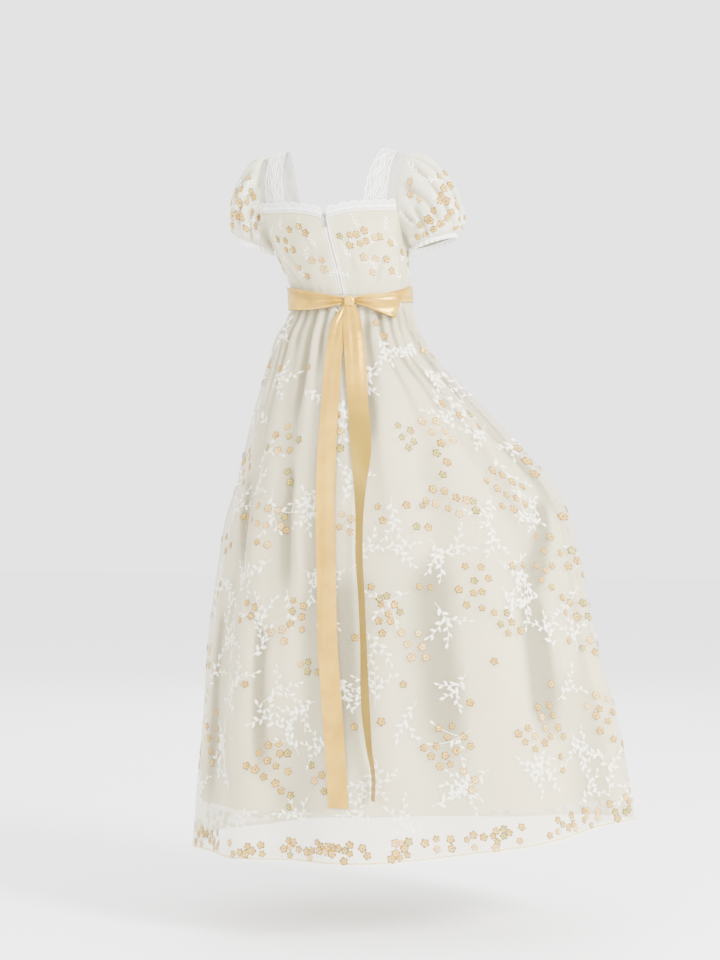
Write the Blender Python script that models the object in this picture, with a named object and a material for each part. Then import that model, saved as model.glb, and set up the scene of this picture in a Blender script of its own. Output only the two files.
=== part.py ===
"""A high-waisted regency gown of embroidered net over an opaque lining, with puff sleeves and a satin sash.

It keeps the hollow form of a gown that is worn. +Z is up, the front faces -Y and the wearer's left is +X.
The origin lies between the shoulders, at the height of the net yokes that the gown hangs from.
Angles run round the body from the centre back, through the wearer's left, to the centre front at 180.
"""

import math

import bpy
from mathutils import Matrix, Vector

# Walls and gaps
SEAM_GAP = 0.0003
CLOTH_WALL = 0.0013
NET_WALL = 0.0012
LINING_WALL = 0.0012
LACE_WALL = 0.0010
RIBBON_WALL = 0.0010

# Heights of the waist seam, the hem at the back, and how far the held side of the hem is lifted
WAIST = -0.288
HEM = -1.345
HEM_DROP_LEFT = 0.012
HEM_LIFT_RIGHT = 0.055
LINING_SHORTER = 0.090
LINING_SHORTER_RIGHT = 0.042

# Rings of the gown, from the chest to the hem. The half-widths to the left and right are measured from the
# middle, and "drawn" says how sharply a held side of the skirt is drawn out.
GOWN_COLUMNS = ("height", "middle", "left", "right", "back", "front", "drawn_left", "drawn_right")
GOWN_ROWS = (
    (-0.095, 0.008, 0.150, 0.150, 0.101, 0.095, 0.00, 0.00),
    (-0.120, 0.004, 0.147, 0.147, 0.105, 0.104, 0.00, 0.00),
    (-0.160, -0.003, 0.139, 0.139, 0.106, 0.122, 0.00, 0.00),
    (-0.205, -0.014, 0.130, 0.130, 0.103, 0.130, 0.00, 0.00),
    (-0.250, -0.025, 0.121, 0.121, 0.098, 0.116, 0.00, 0.00),
    (-0.288, -0.032, 0.117, 0.117, 0.095, 0.101, 0.00, 0.00),
    (-0.306, -0.032, 0.119, 0.118, 0.099, 0.103, 0.00, 0.00),
    (-0.330, -0.032, 0.127, 0.122, 0.108, 0.111, 0.00, 0.02),
    (-0.365, -0.032, 0.147, 0.133, 0.122, 0.122, 0.02, 0.06),
    (-0.412, -0.032, 0.161, 0.163, 0.137, 0.134, 0.05, 0.15),
    (-0.461, -0.032, 0.176, 0.212, 0.150, 0.146, 0.10, 0.25),
    (-0.516, -0.032, 0.192, 0.266, 0.162, 0.156, 0.11, 0.36),
    (-0.592, -0.032, 0.207, 0.336, 0.176, 0.168, 0.15, 0.50),
    (-0.650, -0.033, 0.222, 0.384, 0.186, 0.177, 0.18, 0.55),
    (-0.721, -0.034, 0.246, 0.418, 0.196, 0.187, 0.18, 0.46),
    (-0.800, -0.035, 0.260, 0.434, 0.207, 0.197, 0.15, 0.36),
    (-0.956, -0.037, 0.284, 0.463, 0.229, 0.216, 0.12, 0.28),
    (-1.113, -0.040, 0.299, 0.500, 0.250, 0.235, 0.10, 0.24),
    (-1.270, -0.042, 0.313, 0.523, 0.270, 0.253, 0.08, 0.22),
    (-1.420, -0.044, 0.325, 0.540, 0.287, 0.268, 0.06, 0.20),
)

# How deep the gathers, the folds that they run into, and the long folds of the skirt stand, going down
FOLD_COLUMNS = ("height", "gather", "fold", "long_fold")
FOLD_ROWS = (
    (-0.288, 0.0009, 0.0000, 0.0000),
    (-0.306, 0.0015, 0.0000, 0.0000),
    (-0.330, 0.0036, 0.0006, 0.0000),
    (-0.360, 0.0042, 0.0018, 0.0006),
    (-0.420, 0.0034, 0.0036, 0.0018),
    (-0.500, 0.0016, 0.0046, 0.0040),
    (-0.620, 0.0004, 0.0040, 0.0070),
    (-0.800, 0.0000, 0.0025, 0.0100),
    (-1.000, 0.0000, 0.0012, 0.0125),
    (-1.200, 0.0000, 0.0000, 0.0145),
    (-1.420, 0.0000, 0.0000, 0.0160),
)
GATHERS = 36
FOLDS = 18
LONG_FOLDS = 9
BROAD_FOLDS = 5

# The bodice's top edge: straight at the back and front, cut away for the arm between them
STRAP_INNER_BACK = 33.0
STRAP_OUTER_BACK = 64.0
STRAP_OUTER_FRONT = 120.0
STRAP_INNER_FRONT = 145.0
NECK_CENTRE_BACK = -0.133
NECK_STRAP_BACK = -0.118
NECK_ARM_BACK = -0.112
NECK_FRONT = -0.152
ARMHOLE_DEPTH = 0.058

# The shoulder line of the net yokes
SHOULDER_INNER = (0.098, 0.000, 0.002)
SHOULDER_OUTER = (0.140, -0.004, -0.008)

# The puff sleeves: the cuff's middle and half-widths, and how far the head of the puff stands out
SLEEVE_COLUMNS = ("side", "cuff_x", "cuff_z", "half_x", "half_y", "tilt", "puff")
SLEEVE_ROWS = (
    (1, 0.1625, -0.178, 0.0345, 0.041, 0.013, 0.040),
    (-1, 0.1935, -0.178, 0.0445, 0.045, 0.014, 0.046),
)
SLEEVE_GATHERS = 12

# The sash
SASH_HEIGHT = 0.030
SASH_MIDDLE = -0.278
SASH_DIP = 0.013
SASH_STAND_OFF = 0.0024

# The tails of the bow, by the middle of the ribbon and the width that it shows
TAIL_COLUMNS = ("height", "middle", "width", "twist")
LEFT_TAIL_ROWS = (
    (-0.316, -0.0400, 0.0200, 0.000),
    (-0.345, -0.0300, 0.0280, 0.000),
    (-0.400, -0.0250, 0.0330, 0.000),
    (-0.490, -0.0225, 0.0350, 0.000),
    (-0.585, -0.0195, 0.0370, 0.000),
    (-0.680, -0.0190, 0.0370, 0.000),
    (-0.790, -0.0235, 0.0375, 0.000),
    (-0.855, -0.0270, 0.0380, 0.000),
    (-0.950, -0.0320, 0.0395, 0.000),
    (-1.050, -0.0420, 0.0400, 0.000),
    (-1.145, -0.0515, 0.0395, 0.000),
    (-1.242, -0.0605, 0.0385, 0.000),
)
RIGHT_TAIL_ROWS = (
    (-0.316, -0.0500, 0.0280, 0.000),
    (-0.345, -0.0560, 0.0340, 0.000),
    (-0.400, -0.0645, 0.0385, 0.000),
    (-0.490, -0.0750, 0.0385, 0.001),
    (-0.585, -0.0850, 0.0400, 0.006),
    (-0.650, -0.0870, 0.0270, 0.016),
    (-0.710, -0.0880, 0.0190, 0.022),
    (-0.790, -0.0900, 0.0180, 0.024),
    (-0.855, -0.0960, 0.0170, 0.024),
    (-0.950, -0.1025, 0.0170, 0.024),
    (-1.050, -0.1080, 0.0200, 0.022),
    (-1.130, -0.1170, 0.0150, 0.022),
    (-1.180, -0.1260, 0.0120, 0.022),
    (-1.226, -0.1265, 0.0110, 0.022),
)

# The bow loops, by the angle that the middle of the ribbon has reached
KNOT_ANGLE = -7.0
KNOT_HEIGHT = -0.3015
LOOP_COLUMNS = ("along", "angle", "height", "half_width", "stand_off")
LEFT_LOOP_ROWS = (
    (0.00, -0.6, -0.3010, 0.0070, 0.0085),
    (0.12, 12.0, -0.3010, 0.0125, 0.0118),
    (0.24, 28.0, -0.2990, 0.0180, 0.0140),
    (0.38, 52.0, -0.2930, 0.0220, 0.0145),
    (0.47, 67.0, -0.2905, 0.0232, 0.0120),
    (0.50, 69.0, -0.2900, 0.0235, 0.0085),
    (0.53, 67.0, -0.2905, 0.0232, 0.0052),
    (0.62, 52.0, -0.2930, 0.0215, 0.0046),
    (0.76, 28.0, -0.2990, 0.0170, 0.0046),
    (0.88, 12.0, -0.3010, 0.0115, 0.0046),
    (1.00, -0.6, -0.3010, 0.0065, 0.0050),
)
RIGHT_LOOP_ROWS = (
    (0.00, -13.6, -0.3010, 0.0070, 0.0085),
    (0.14, -22.0, -0.3010, 0.0120, 0.0122),
    (0.28, -33.0, -0.3045, 0.0175, 0.0150),
    (0.40, -45.0, -0.3085, 0.0205, 0.0160),
    (0.47, -52.0, -0.3115, 0.0215, 0.0138),
    (0.50, -54.0, -0.3120, 0.0215, 0.0100),
    (0.53, -52.0, -0.3115, 0.0210, 0.0066),
    (0.62, -43.0, -0.3080, 0.0195, 0.0052),
    (0.76, -31.0, -0.3040, 0.0160, 0.0048),
    (0.88, -21.0, -0.3010, 0.0110, 0.0046),
    (1.00, -13.6, -0.3010, 0.0065, 0.0050),
)

# The zip
ZIP_TAPE_HALF = 0.55
ZIP_SLIT_HALF = 0.80
ZIP_TOP = -0.1345
ZIP_FOOT = -0.2865
SLIDER_HEIGHT = -0.1385
SLIDER_LENGTH = 0.0080
SLIDER_WIDTH = 0.0050
PULL_LENGTH = 0.0250

# Finishes: base colour, roughness, metallic
FINISHES = {
    "net": ((0.86, 0.84, 0.76), 0.62, 0.0),
    "lining": ((0.80, 0.82, 0.76), 0.60, 0.0),
    "lace": ((0.90, 0.89, 0.87), 0.65, 0.0),
    "satin": ((0.72, 0.52, 0.24), 0.34, 0.0),
    "zip": ((0.82, 0.81, 0.78), 0.45, 0.0),
    "pull": ((0.42, 0.42, 0.41), 0.35, 0.8),
}

for old in list(bpy.data.objects):
    bpy.data.objects.remove(old)


def finish(name):
    """The material of this name, made once."""
    material = bpy.data.materials.get(name)
    if material is None:
        colour, roughness, metallic = FINISHES[name]
        material = bpy.data.materials.new(name)
        material.use_nodes = True
        shader = material.node_tree.nodes["Principled BSDF"]
        shader.inputs["Base Color"].default_value = (*colour, 1.0)
        shader.inputs["Roughness"].default_value = roughness
        shader.inputs["Metallic"].default_value = metallic
        material.diffuse_color = (*colour, 1.0)
    return material


def straight(columns, rows, name, at):
    """A column of a table at a place between its rows, on straight runs."""
    pick = columns.index(name)
    rising = rows[-1][0] > rows[0][0]
    ordered = rows if rising else rows[::-1]
    for low, high in zip(ordered, ordered[1:]):
        if at <= high[0] or high is ordered[-1]:
            share = (at - low[0]) / (high[0] - low[0])
            share = min(max(share, 0.0), 1.0)
            return low[pick] + (high[pick] - low[pick]) * share


def smooth(columns, rows, name, at):
    """A column of a table at a place between its rows, on one smooth curve through them."""
    pick = columns.index(name)
    ordered = rows if rows[-1][0] > rows[0][0] else rows[::-1]
    last = len(ordered) - 1
    step = 0
    while step < last - 1 and at > ordered[step + 1][0]:
        step += 1

    def slope(row):
        before = ordered[max(row - 1, 0)]
        after = ordered[min(row + 1, last)]
        return (after[pick] - before[pick]) / (after[0] - before[0])

    low, high = ordered[step], ordered[step + 1]
    span = high[0] - low[0]
    t = (at - low[0]) / span
    if t < 0 or t > 1:
        near, row = (low, step) if t < 0 else (high, step + 1)
        return near[pick] + slope(row) * (at - near[0])
    rise = (high[pick] - low[pick]) * (3 * t * t - 2 * t**3) + low[pick]
    return rise + span * (slope(step) * (t**3 - 2 * t * t + t) + slope(step + 1) * (t**3 - t * t))


def gown_ring(angle, height, inset=0.0):
    """A point of the smooth gown, without its folds. The inset draws the whole ring in."""

    def size(name):
        return smooth(GOWN_COLUMNS, GOWN_ROWS, name, height)

    turn = math.radians(angle)
    across, along = math.sin(turn), math.cos(turn)
    side = "left" if across > 0 else "right"
    drawn = max(size("drawn_" + side), 0.0)
    half_width = size(side) - inset * (1 + 2 * drawn)
    depth = size("back" if along > 0 else "front") - inset
    return Vector((size("middle") + half_width * across, depth * along * abs(along) ** drawn, height))


def level_normal(angle, height, inset=0.0):
    """The level direction that points out of the gown."""
    ahead = gown_ring(angle + 0.5, height, inset)
    behind = gown_ring(angle - 0.5, height, inset)
    return Vector((behind.y - ahead.y, ahead.x - behind.x, 0)).normalized()


def fold_depth(name, height):
    return straight(FOLD_COLUMNS, FOLD_ROWS, name, height)


def gather_wave(angle):
    return math.cos(math.radians(GATHERS * angle))


def fold_wave(angle):
    return math.cos(math.radians(FOLDS * angle) + 0.5)


def long_wave(angle):
    turn = math.radians(angle)
    return 0.72 * math.cos(LONG_FOLDS * turn + 1.0) + 0.35 * math.cos(BROAD_FOLDS * turn + 2.2)


def hem_height(angle):
    across = math.sin(math.radians(angle))
    if across > 0:
        return HEM - HEM_DROP_LEFT * across**2
    return HEM + HEM_LIFT_RIGHT * abs(across) ** 1.6


def net_skirt(angle, share):
    """The net skirt, from the waist seam at share 0 to the hem at 1."""
    top = WAIST - SEAM_GAP / 2
    height = top + (hem_height(angle) - top) * share
    out = fold_depth("gather", height) * gather_wave(angle)
    out += fold_depth("fold", height) * fold_wave(angle)
    out += fold_depth("long_fold", height) * long_wave(angle)
    return gown_ring(angle, height) + level_normal(angle, height) * out


def lining_inset(height):
    """How far the lining lies inside the net: just clear of it at the seam, and loose below."""
    below = min(max((WAIST - height) / 0.060, 0.0), 1.0)
    clear = 0.0006 + 0.0044 * below
    return fold_depth("gather", height) + fold_depth("fold", height) + NET_WALL + clear


def lining_skirt(angle, share):
    """The lining, which follows the long folds of the net and hangs shorter."""
    top = WAIST - SEAM_GAP / 2
    across = min(math.sin(math.radians(angle)), 0.0)
    foot = hem_height(angle) + LINING_SHORTER + (LINING_SHORTER_RIGHT - LINING_SHORTER) * across**2
    height = top + (foot - top) * share
    inset = lining_inset(height)
    out = fold_depth("long_fold", height) * long_wave(angle)
    return gown_ring(angle, height, inset) + level_normal(angle, height, inset) * out


def top_edge(angle):
    """The height of the bodice's top edge, the same on both sides."""
    away = abs(angle) if abs(angle) <= 180 else 360 - abs(angle)
    if away <= STRAP_INNER_BACK:
        share = away / STRAP_INNER_BACK
        return NECK_CENTRE_BACK + (NECK_STRAP_BACK - NECK_CENTRE_BACK) * math.sin(share * math.pi / 2)
    if away <= STRAP_OUTER_BACK:
        share = (away - STRAP_INNER_BACK) / (STRAP_OUTER_BACK - STRAP_INNER_BACK)
        return NECK_STRAP_BACK + (NECK_ARM_BACK - NECK_STRAP_BACK) * share
    if away >= STRAP_OUTER_FRONT:
        return NECK_FRONT
    share = (away - STRAP_OUTER_BACK) / (STRAP_OUTER_FRONT - STRAP_OUTER_BACK)
    line = NECK_ARM_BACK + (NECK_FRONT - NECK_ARM_BACK) * share
    return line - ARMHOLE_DEPTH * math.sin(math.pi * share) ** 0.7


def bodice(angle, share):
    """The bodice, from its top edge at share 0 to the waist seam at 1, with the fullness of the front."""
    foot = WAIST + SEAM_GAP / 2
    height = top_edge(angle) + (foot - top_edge(angle)) * share
    point = gown_ring(angle, height)
    level = math.exp(-(((height + 0.212) / 0.036) ** 2))
    for middle in (148, 212):
        turn = (angle % 360 - middle) / 21
        point.y -= 0.009 * level * math.exp(-(turn**2))
    return point


def yoke_frame(side, across):
    """The ends and the shoulder point of a yoke, from its inner edge at across 0 to the armhole at 1."""
    back_angle = side * (STRAP_INNER_BACK + (STRAP_OUTER_BACK - STRAP_INNER_BACK) * across)
    front_angle = side * (STRAP_INNER_FRONT + (STRAP_OUTER_FRONT - STRAP_INNER_FRONT) * across)
    lift = Vector((0, 0, SEAM_GAP))
    back = bodice(back_angle, 0) + lift
    front = bodice(front_angle, 0) + lift
    back_rise = (back - bodice(back_angle, 0.1)).normalized()
    front_rise = (front - bodice(front_angle, 0.1)).normalized()
    inner, outer = Vector(SHOULDER_INNER), Vector(SHOULDER_OUTER)
    shoulder = inner.lerp(outer, across)
    shoulder.x *= side
    return front, front_rise, shoulder, back, back_rise


def bezier(a, b, c, d, t):
    return a * (1 - t) ** 3 + b * (3 * t * (1 - t) ** 2) + c * (3 * t * t * (1 - t)) + d * t**3


def yoke(side, across, along):
    """A yoke, from the front edge at along 0, over the shoulder at 0.5, to the back edge at 1."""
    front, front_rise, shoulder, back, back_rise = yoke_frame(side, across)
    ahead = Vector((0, 0.040, 0))
    if along <= 0.5:
        return bezier(front, front + front_rise * 0.070, shoulder - ahead, shoulder, along * 2)
    return bezier(shoulder, shoulder + ahead, back + back_rise * 0.055, back, along * 2 - 1)


def armhole_line(side):
    """The armhole as one run of points: over the yoke, down the back, under the arm and up the front."""
    steps = 40
    run = [yoke(side, 1, 0.5 + 0.5 * i / steps) for i in range(steps)]
    under = STRAP_OUTER_FRONT - STRAP_OUTER_BACK
    run += [bodice(side * (STRAP_OUTER_BACK + under * i / steps), 0) for i in range(steps)]
    run += [yoke(side, 1, 0.5 * i / steps) for i in range(steps + 1)]
    return run


ARMHOLES = {1: armhole_line(1), -1: armhole_line(-1)}


def armhole(side, share):
    """A point of the armhole at a share of its length round, from the shoulder through the back."""
    run = ARMHOLES[side]
    lengths = [0.0]
    for before, after in zip(run, run[1:]):
        lengths.append(lengths[-1] + (after - before).length)
    at = (share % 1.0) * lengths[-1]
    for i, reached in enumerate(lengths[1:]):
        if at <= reached:
            return run[i].lerp(run[i + 1], (at - lengths[i]) / (reached - lengths[i]))
    return run[-1].copy()


def cuff_point(side, share, down=0.0, out=0.0):
    """A point of the cuff's ring, which the arm passes through."""
    row = dict(zip(SLEEVE_COLUMNS, next(r for r in SLEEVE_ROWS if r[0] == side)))
    turn = 2 * math.pi * share
    over, back = math.cos(turn), math.sin(turn)
    x = row["cuff_x"] + (row["half_x"] + out) * over
    y = -0.004 + (row["half_y"] + out) * back
    return Vector((side * x, y, row["cuff_z"] + row["tilt"] * over - down))


def sleeve(side, share, along):
    """A puff sleeve, from the armhole at along 0 to the cuff at 1, with its gathers and soft folds."""
    puff = dict(zip(SLEEVE_COLUMNS, next(r for r in SLEEVE_ROWS if r[0] == side)))["puff"]
    turn = 2 * math.pi * share
    over, back = math.cos(turn), math.sin(turn)
    upper = (1 + over) / 2
    head = armhole(side, share) + Vector((side * 0.0006, 0, 0))
    foot = cuff_point(side, share)
    leave = Vector((side * (0.003 + (0.007 + puff) * upper), back * 0.020 * upper, 0.020 * over * upper))
    swell = 0.004 + (0.008 + 0.8 * puff) * upper
    arrive = Vector((side * swell * over, back * 0.026, 0.003 + 0.019 * upper))
    point = bezier(head, head + leave, foot + arrive, foot, along)
    near_head = math.exp(-(((along - 0.16) / 0.14) ** 2))
    near_cuff = math.exp(-(((along - 0.86) / 0.10) ** 2))
    middle = math.sin(math.pi * along) ** 2
    out = 0.0024 * math.cos(SLEEVE_GATHERS * turn) * near_head * upper
    out += 0.0016 * math.cos(SLEEVE_GATHERS * turn + 0.8) * near_cuff * (0.3 + 0.7 * upper)
    out += 0.0042 * math.cos(5 * turn + 0.6) * middle * upper
    centre = armhole(side, 0.5).lerp(armhole(side, 0), 0.5).lerp(cuff_point(side, 0.25), along)
    return point + (point - centre).normalized() * out


def surface_normal(point, u, v, du, dv):
    along_u = point(u + du, v) - point(u - du, v)
    along_v = point(u, v + dv) - point(u, v - dv)
    return along_u.cross(along_v).normalized()


def make_object(name, vertices, faces, material, smooth_faces=True):
    mesh = bpy.data.meshes.new(name)
    mesh.from_pydata([tuple(v) for v in vertices], [], faces)
    if smooth_faces:
        mesh.shade_smooth()
        mesh.set_sharp_from_angle(angle=math.radians(50))
    mesh.materials.append(finish(material))
    thing = bpy.data.objects.new(name, mesh)
    bpy.context.scene.collection.objects.link(thing)
    return thing


def sheet(name, point, us, vs, wall, material, facing=1, lift=0.0, ring=False, halved=None, seam=SEAM_GAP):
    """A closed wall of cloth on the surface point(u, v): its outer face is lifted, its inner one a wall in.

    u runs along each row and v from row to row. A ring closes on itself along u. From the row "halved" on,
    every second column is left out. At open ends, the cloth stops half a seam gap short.
    """
    du = (us[1] - us[0]) * 0.05
    dv = (vs[1] - vs[0]) * 0.05
    outer, inner = [], []
    for row, v in enumerate(vs):
        columns = us if halved is None or row < halved else us[::2]
        out_row, in_row = [], []
        for u in columns:
            place = point(u, v)
            normal = surface_normal(point, u, v, du, dv) * facing
            out_row.append(place + normal * lift)
            in_row.append(place + normal * (lift - wall))
        if not ring and seam:
            for line in (out_row, in_row):
                first = (line[1] - line[0]).normalized() * (seam / 2)
                last = (line[-2] - line[-1]).normalized() * (seam / 2)
                line[0] = line[0] + first
                line[-1] = line[-1] + last
        outer.append(out_row)
        inner.append(in_row)

    vertices, starts = [], {}
    for side, rows in (("outer", outer), ("inner", inner)):
        for row, line in enumerate(rows):
            starts[side, row] = len(vertices)
            vertices.extend(line)

    def index(side, row, column):
        return starts[side, row] + column % len(outer[row])

    faces = []

    def add(side, *corners):
        faces.append(tuple(corners) if side == "outer" else tuple(reversed(corners)))

    for row in range(len(vs) - 1):
        upper, lower = len(outer[row]), len(outer[row + 1])
        for side in ("outer", "inner"):
            if upper == lower:
                for column in range(upper if ring else upper - 1):
                    add(
                        side,
                        index(side, row, column),
                        index(side, row, column + 1),
                        index(side, row + 1, column + 1),
                        index(side, row + 1, column),
                    )
            else:
                for pair in range(lower if ring else lower - 1):
                    left, middle, right = (index(side, row, 2 * pair + k) for k in range(3))
                    foot_left = index(side, row + 1, pair)
                    foot_right = index(side, row + 1, pair + 1)
                    add(side, left, middle, foot_left)
                    add(side, middle, foot_right, foot_left)
                    add(side, middle, right, foot_right)
    for row in (0, len(vs) - 1):
        count = len(outer[row])
        for column in range(count if ring else count - 1):
            corners = (
                index("outer", row, column),
                index("inner", row, column),
                index("inner", row, column + 1),
                index("outer", row, column + 1),
            )
            faces.append(corners if row == 0 else tuple(reversed(corners)))
    if not ring:
        for row in range(len(vs) - 1):
            for end in (0, -1):
                top, foot = end % len(outer[row]), end % len(outer[row + 1])
                corners = (
                    index("outer", row, top),
                    index("outer", row + 1, foot),
                    index("inner", row + 1, foot),
                    index("inner", row, top),
                )
                faces.append(corners if end == 0 else tuple(reversed(corners)))
    if facing < 0:
        faces = [tuple(reversed(face)) for face in faces]
    return make_object(name, vertices, faces, material)


def spaced(first, last, count):
    """Evenly spaced values from first to last, both kept."""
    return [first + (last - first) * i / (count - 1) for i in range(count)]


# The bodice: a front and two backs, joined at the sides and parted at the centre back by the zip
BODICE_SHARES = (0.0, 0.14, 0.32, 0.5, 0.68, 0.84, 1.0)
BACK_ANGLES = [ZIP_SLIT_HALF, 11, 22, STRAP_INNER_BACK, 43, 54, STRAP_OUTER_BACK, 68, 74, 82, 90]
HALF_FRONT = [90, 98, 107, 114, STRAP_OUTER_FRONT, 128, 137, STRAP_INNER_FRONT, 154, 163, 172, 180]
FRONT_ANGLES = HALF_FRONT + [360 - a for a in reversed(HALF_FRONT[:-1])]
sheet("bodice_back_left", bodice, BACK_ANGLES, BODICE_SHARES, CLOTH_WALL, "net")
sheet("bodice_back_right", bodice, [-a for a in reversed(BACK_ANGLES)], BODICE_SHARES, CLOTH_WALL, "net")
sheet("bodice_front", bodice, FRONT_ANGLES, BODICE_SHARES, CLOTH_WALL, "net")


# The net skirt, gathered to the waist seam: a front and two backs
NET_SHARES = (0.0, 0.018, 0.04, 0.085, 0.14, 0.21, 0.29, 0.355, 0.44, 0.57, 0.77, 1.0)
NET_HALVED = 4
for name, first, last, count in (
    ("skirt_back_left", 0, 90, 37),
    ("skirt_front", 90, 270, 73),
    ("skirt_back_right", 270, 360, 37),
):
    sheet(name, net_skirt, spaced(first, last, count), NET_SHARES, NET_WALL, "net", halved=NET_HALVED)

# The lining under it, cut in the same three panels
LINING_SHARES = (0.0, 0.04, 0.12, 0.24, 0.41, 0.68, 1.0)
for name, first, last, count in (
    ("lining_back_left", 0, 90, 16),
    ("lining_front", 90, 276, 32),
    ("lining_back_right", 276, 360, 17),
):
    sheet(name, lining_skirt, spaced(first, last, count), LINING_SHARES, LINING_WALL, "lining", seam=0.0008)


def neck_lace(angle, above):
    """The lace on the neck edge: it lies on the bodice below the edge and stands free above it."""
    foot = bodice(angle, 0)
    depth = top_edge(angle) - WAIST
    if above <= 0:
        return bodice(angle, -above / depth)
    rise = (foot - bodice(angle, 0.05)).normalized()
    return foot + rise * above


def scalloped(first, last, scallops, low, deep):
    """Angles along a scalloped edge, and a function that gives the edge's height at each."""
    steps = 2 * scallops
    angles = spaced(first, last, steps + 1)

    def edge(angle):
        share = (angle - first) / (last - first) * scallops
        return low + deep * abs(math.sin(math.pi * share)) ** 0.7

    return angles, edge


LACE_GAP = 0.0006
LACE_LIFT = LACE_GAP + LACE_WALL
NECK_LACE_BELOW = -0.010
NECK_LACE_ABOVE = 0.008
SCALLOP_DEPTH = 0.003
for name, first, last, scallops in (
    ("lace_neck_back_left", 1.8, 62.5, 13),
    ("lace_neck_back_right", -62.5, -1.8, 13),
    ("lace_neck_front", STRAP_OUTER_FRONT + 2.5, 360 - STRAP_OUTER_FRONT - 2.5, 22),
):
    angles, edge = scalloped(first, last, scallops, NECK_LACE_ABOVE, SCALLOP_DEPTH)

    def lace_point(angle, share, edge=edge):
        return neck_lace(angle, edge(angle) + (NECK_LACE_BELOW - edge(angle)) * share)

    sheet(name, lace_point, angles, (0.0, 1.0), LACE_WALL, "lace", lift=LACE_LIFT, seam=0)


# The yokes of sheer net, and the lace strap on the inner edge of each
STRAP_SHARE = 0.56
STRAP_SCALLOPS = 16
STRAP_ALONG = spaced(0.075, 0.925, 2 * STRAP_SCALLOPS + 1)
YOKE_ALONG = [0.0, *STRAP_ALONG[::2], 1.0]
STRAP_LIFT = LACE_LIFT + 0.0002
for side, word in ((1, "left"), (-1, "right")):

    def yoke_point(across, along, side=side):
        return yoke(side, across, along)

    def strap_point(across, along, side=side):
        wave = 0.045 * abs(math.sin(math.pi * STRAP_SCALLOPS * along))
        inner, outer = -0.02 - wave, STRAP_SHARE + wave
        return yoke(side, inner + (outer - inner) * across, along)

    sheet(
        f"yoke_{word}", yoke_point, spaced(0.0, 1.0, 5), YOKE_ALONG, NET_WALL, "net", facing=side, seam=0
    )
    sheet(
        f"lace_strap_{word}",
        strap_point,
        (0.0, 0.5, 1.0),
        STRAP_ALONG,
        LACE_WALL,
        "lace",
        facing=side,
        lift=STRAP_LIFT,
        seam=0,
    )


# The puff sleeves, gathered at the head, and the frilled edge below the elastic of each cuff
SLEEVE_COLUMNS_ROUND = 36
SLEEVE_ALONG = (0.0, 0.12, 0.26, 0.42, 0.58, 0.74, 0.88, 1.0)
FRILL_HEIGHT = 0.009
FRILL_WAVES = 12
for side, word in ((1, "left"), (-1, "right")):

    def sleeve_point(share, along, side=side):
        return sleeve(side, share, along)

    def frill_point(share, down, side=side):
        wave = 0.0016 * down * math.cos(2 * math.pi * FRILL_WAVES * share)
        drop = SEAM_GAP * 1.5 + FRILL_HEIGHT * down
        return cuff_point(side, share, down=drop, out=wave + 0.001 * down)

    around = [i / SLEEVE_COLUMNS_ROUND for i in range(SLEEVE_COLUMNS_ROUND)]
    sheet(f"sleeve_{word}", sleeve_point, around, SLEEVE_ALONG, CLOTH_WALL, "net", facing=-side, ring=True)
    sheet(f"cuff_{word}", frill_point, around, (0.0, 1.0), LACE_WALL, "net", facing=-side, ring=True)


def sash(angle, share):
    """The sash, a ribbon round the waist seam that dips under the bow."""
    back = ((1 + math.cos(math.radians(angle))) / 2) ** 2
    middle = SASH_MIDDLE - SASH_DIP * back
    return gown_ring(angle, middle + SASH_HEIGHT * (0.5 - share))


SASH_COLUMNS_ROUND = 56
sheet(
    "sash_band",
    sash,
    [360 * i / SASH_COLUMNS_ROUND for i in range(SASH_COLUMNS_ROUND)],
    (0.0, 0.5, 1.0),
    RIBBON_WALL,
    "satin",
    lift=SASH_STAND_OFF + RIBBON_WALL,
    ring=True,
)


def loop_maker(rows):
    """The surface of a bow loop, which leaves the knot, turns back and returns to it."""

    def point(along, share):
        angle = smooth(LOOP_COLUMNS, rows, "angle", along)
        middle = smooth(LOOP_COLUMNS, rows, "height", along)
        half = smooth(LOOP_COLUMNS, rows, "half_width", along)
        stand_off = smooth(LOOP_COLUMNS, rows, "stand_off", along)
        height = middle + half * (1 - 2 * share)
        return gown_ring(angle, height) + level_normal(angle, height) * stand_off

    return point


LOOP_ALONG = sorted(set(spaced(0.0, 1.0, 21) + [0.47, 0.485, 0.515, 0.53]))
for word, rows, facing in (("left", LEFT_LOOP_ROWS, 1), ("right", RIGHT_LOOP_ROWS, -1)):
    sheet(
        f"bow_loop_{word}",
        loop_maker(rows),
        LOOP_ALONG,
        (0.0, 0.33, 0.67, 1.0),
        RIBBON_WALL,
        "satin",
        facing=facing,
        seam=0,
    )


KNOT_HALF_SIZE = (0.0108, 0.0046, 0.0090)
KNOT_STAND_OFF = 0.0096


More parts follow.
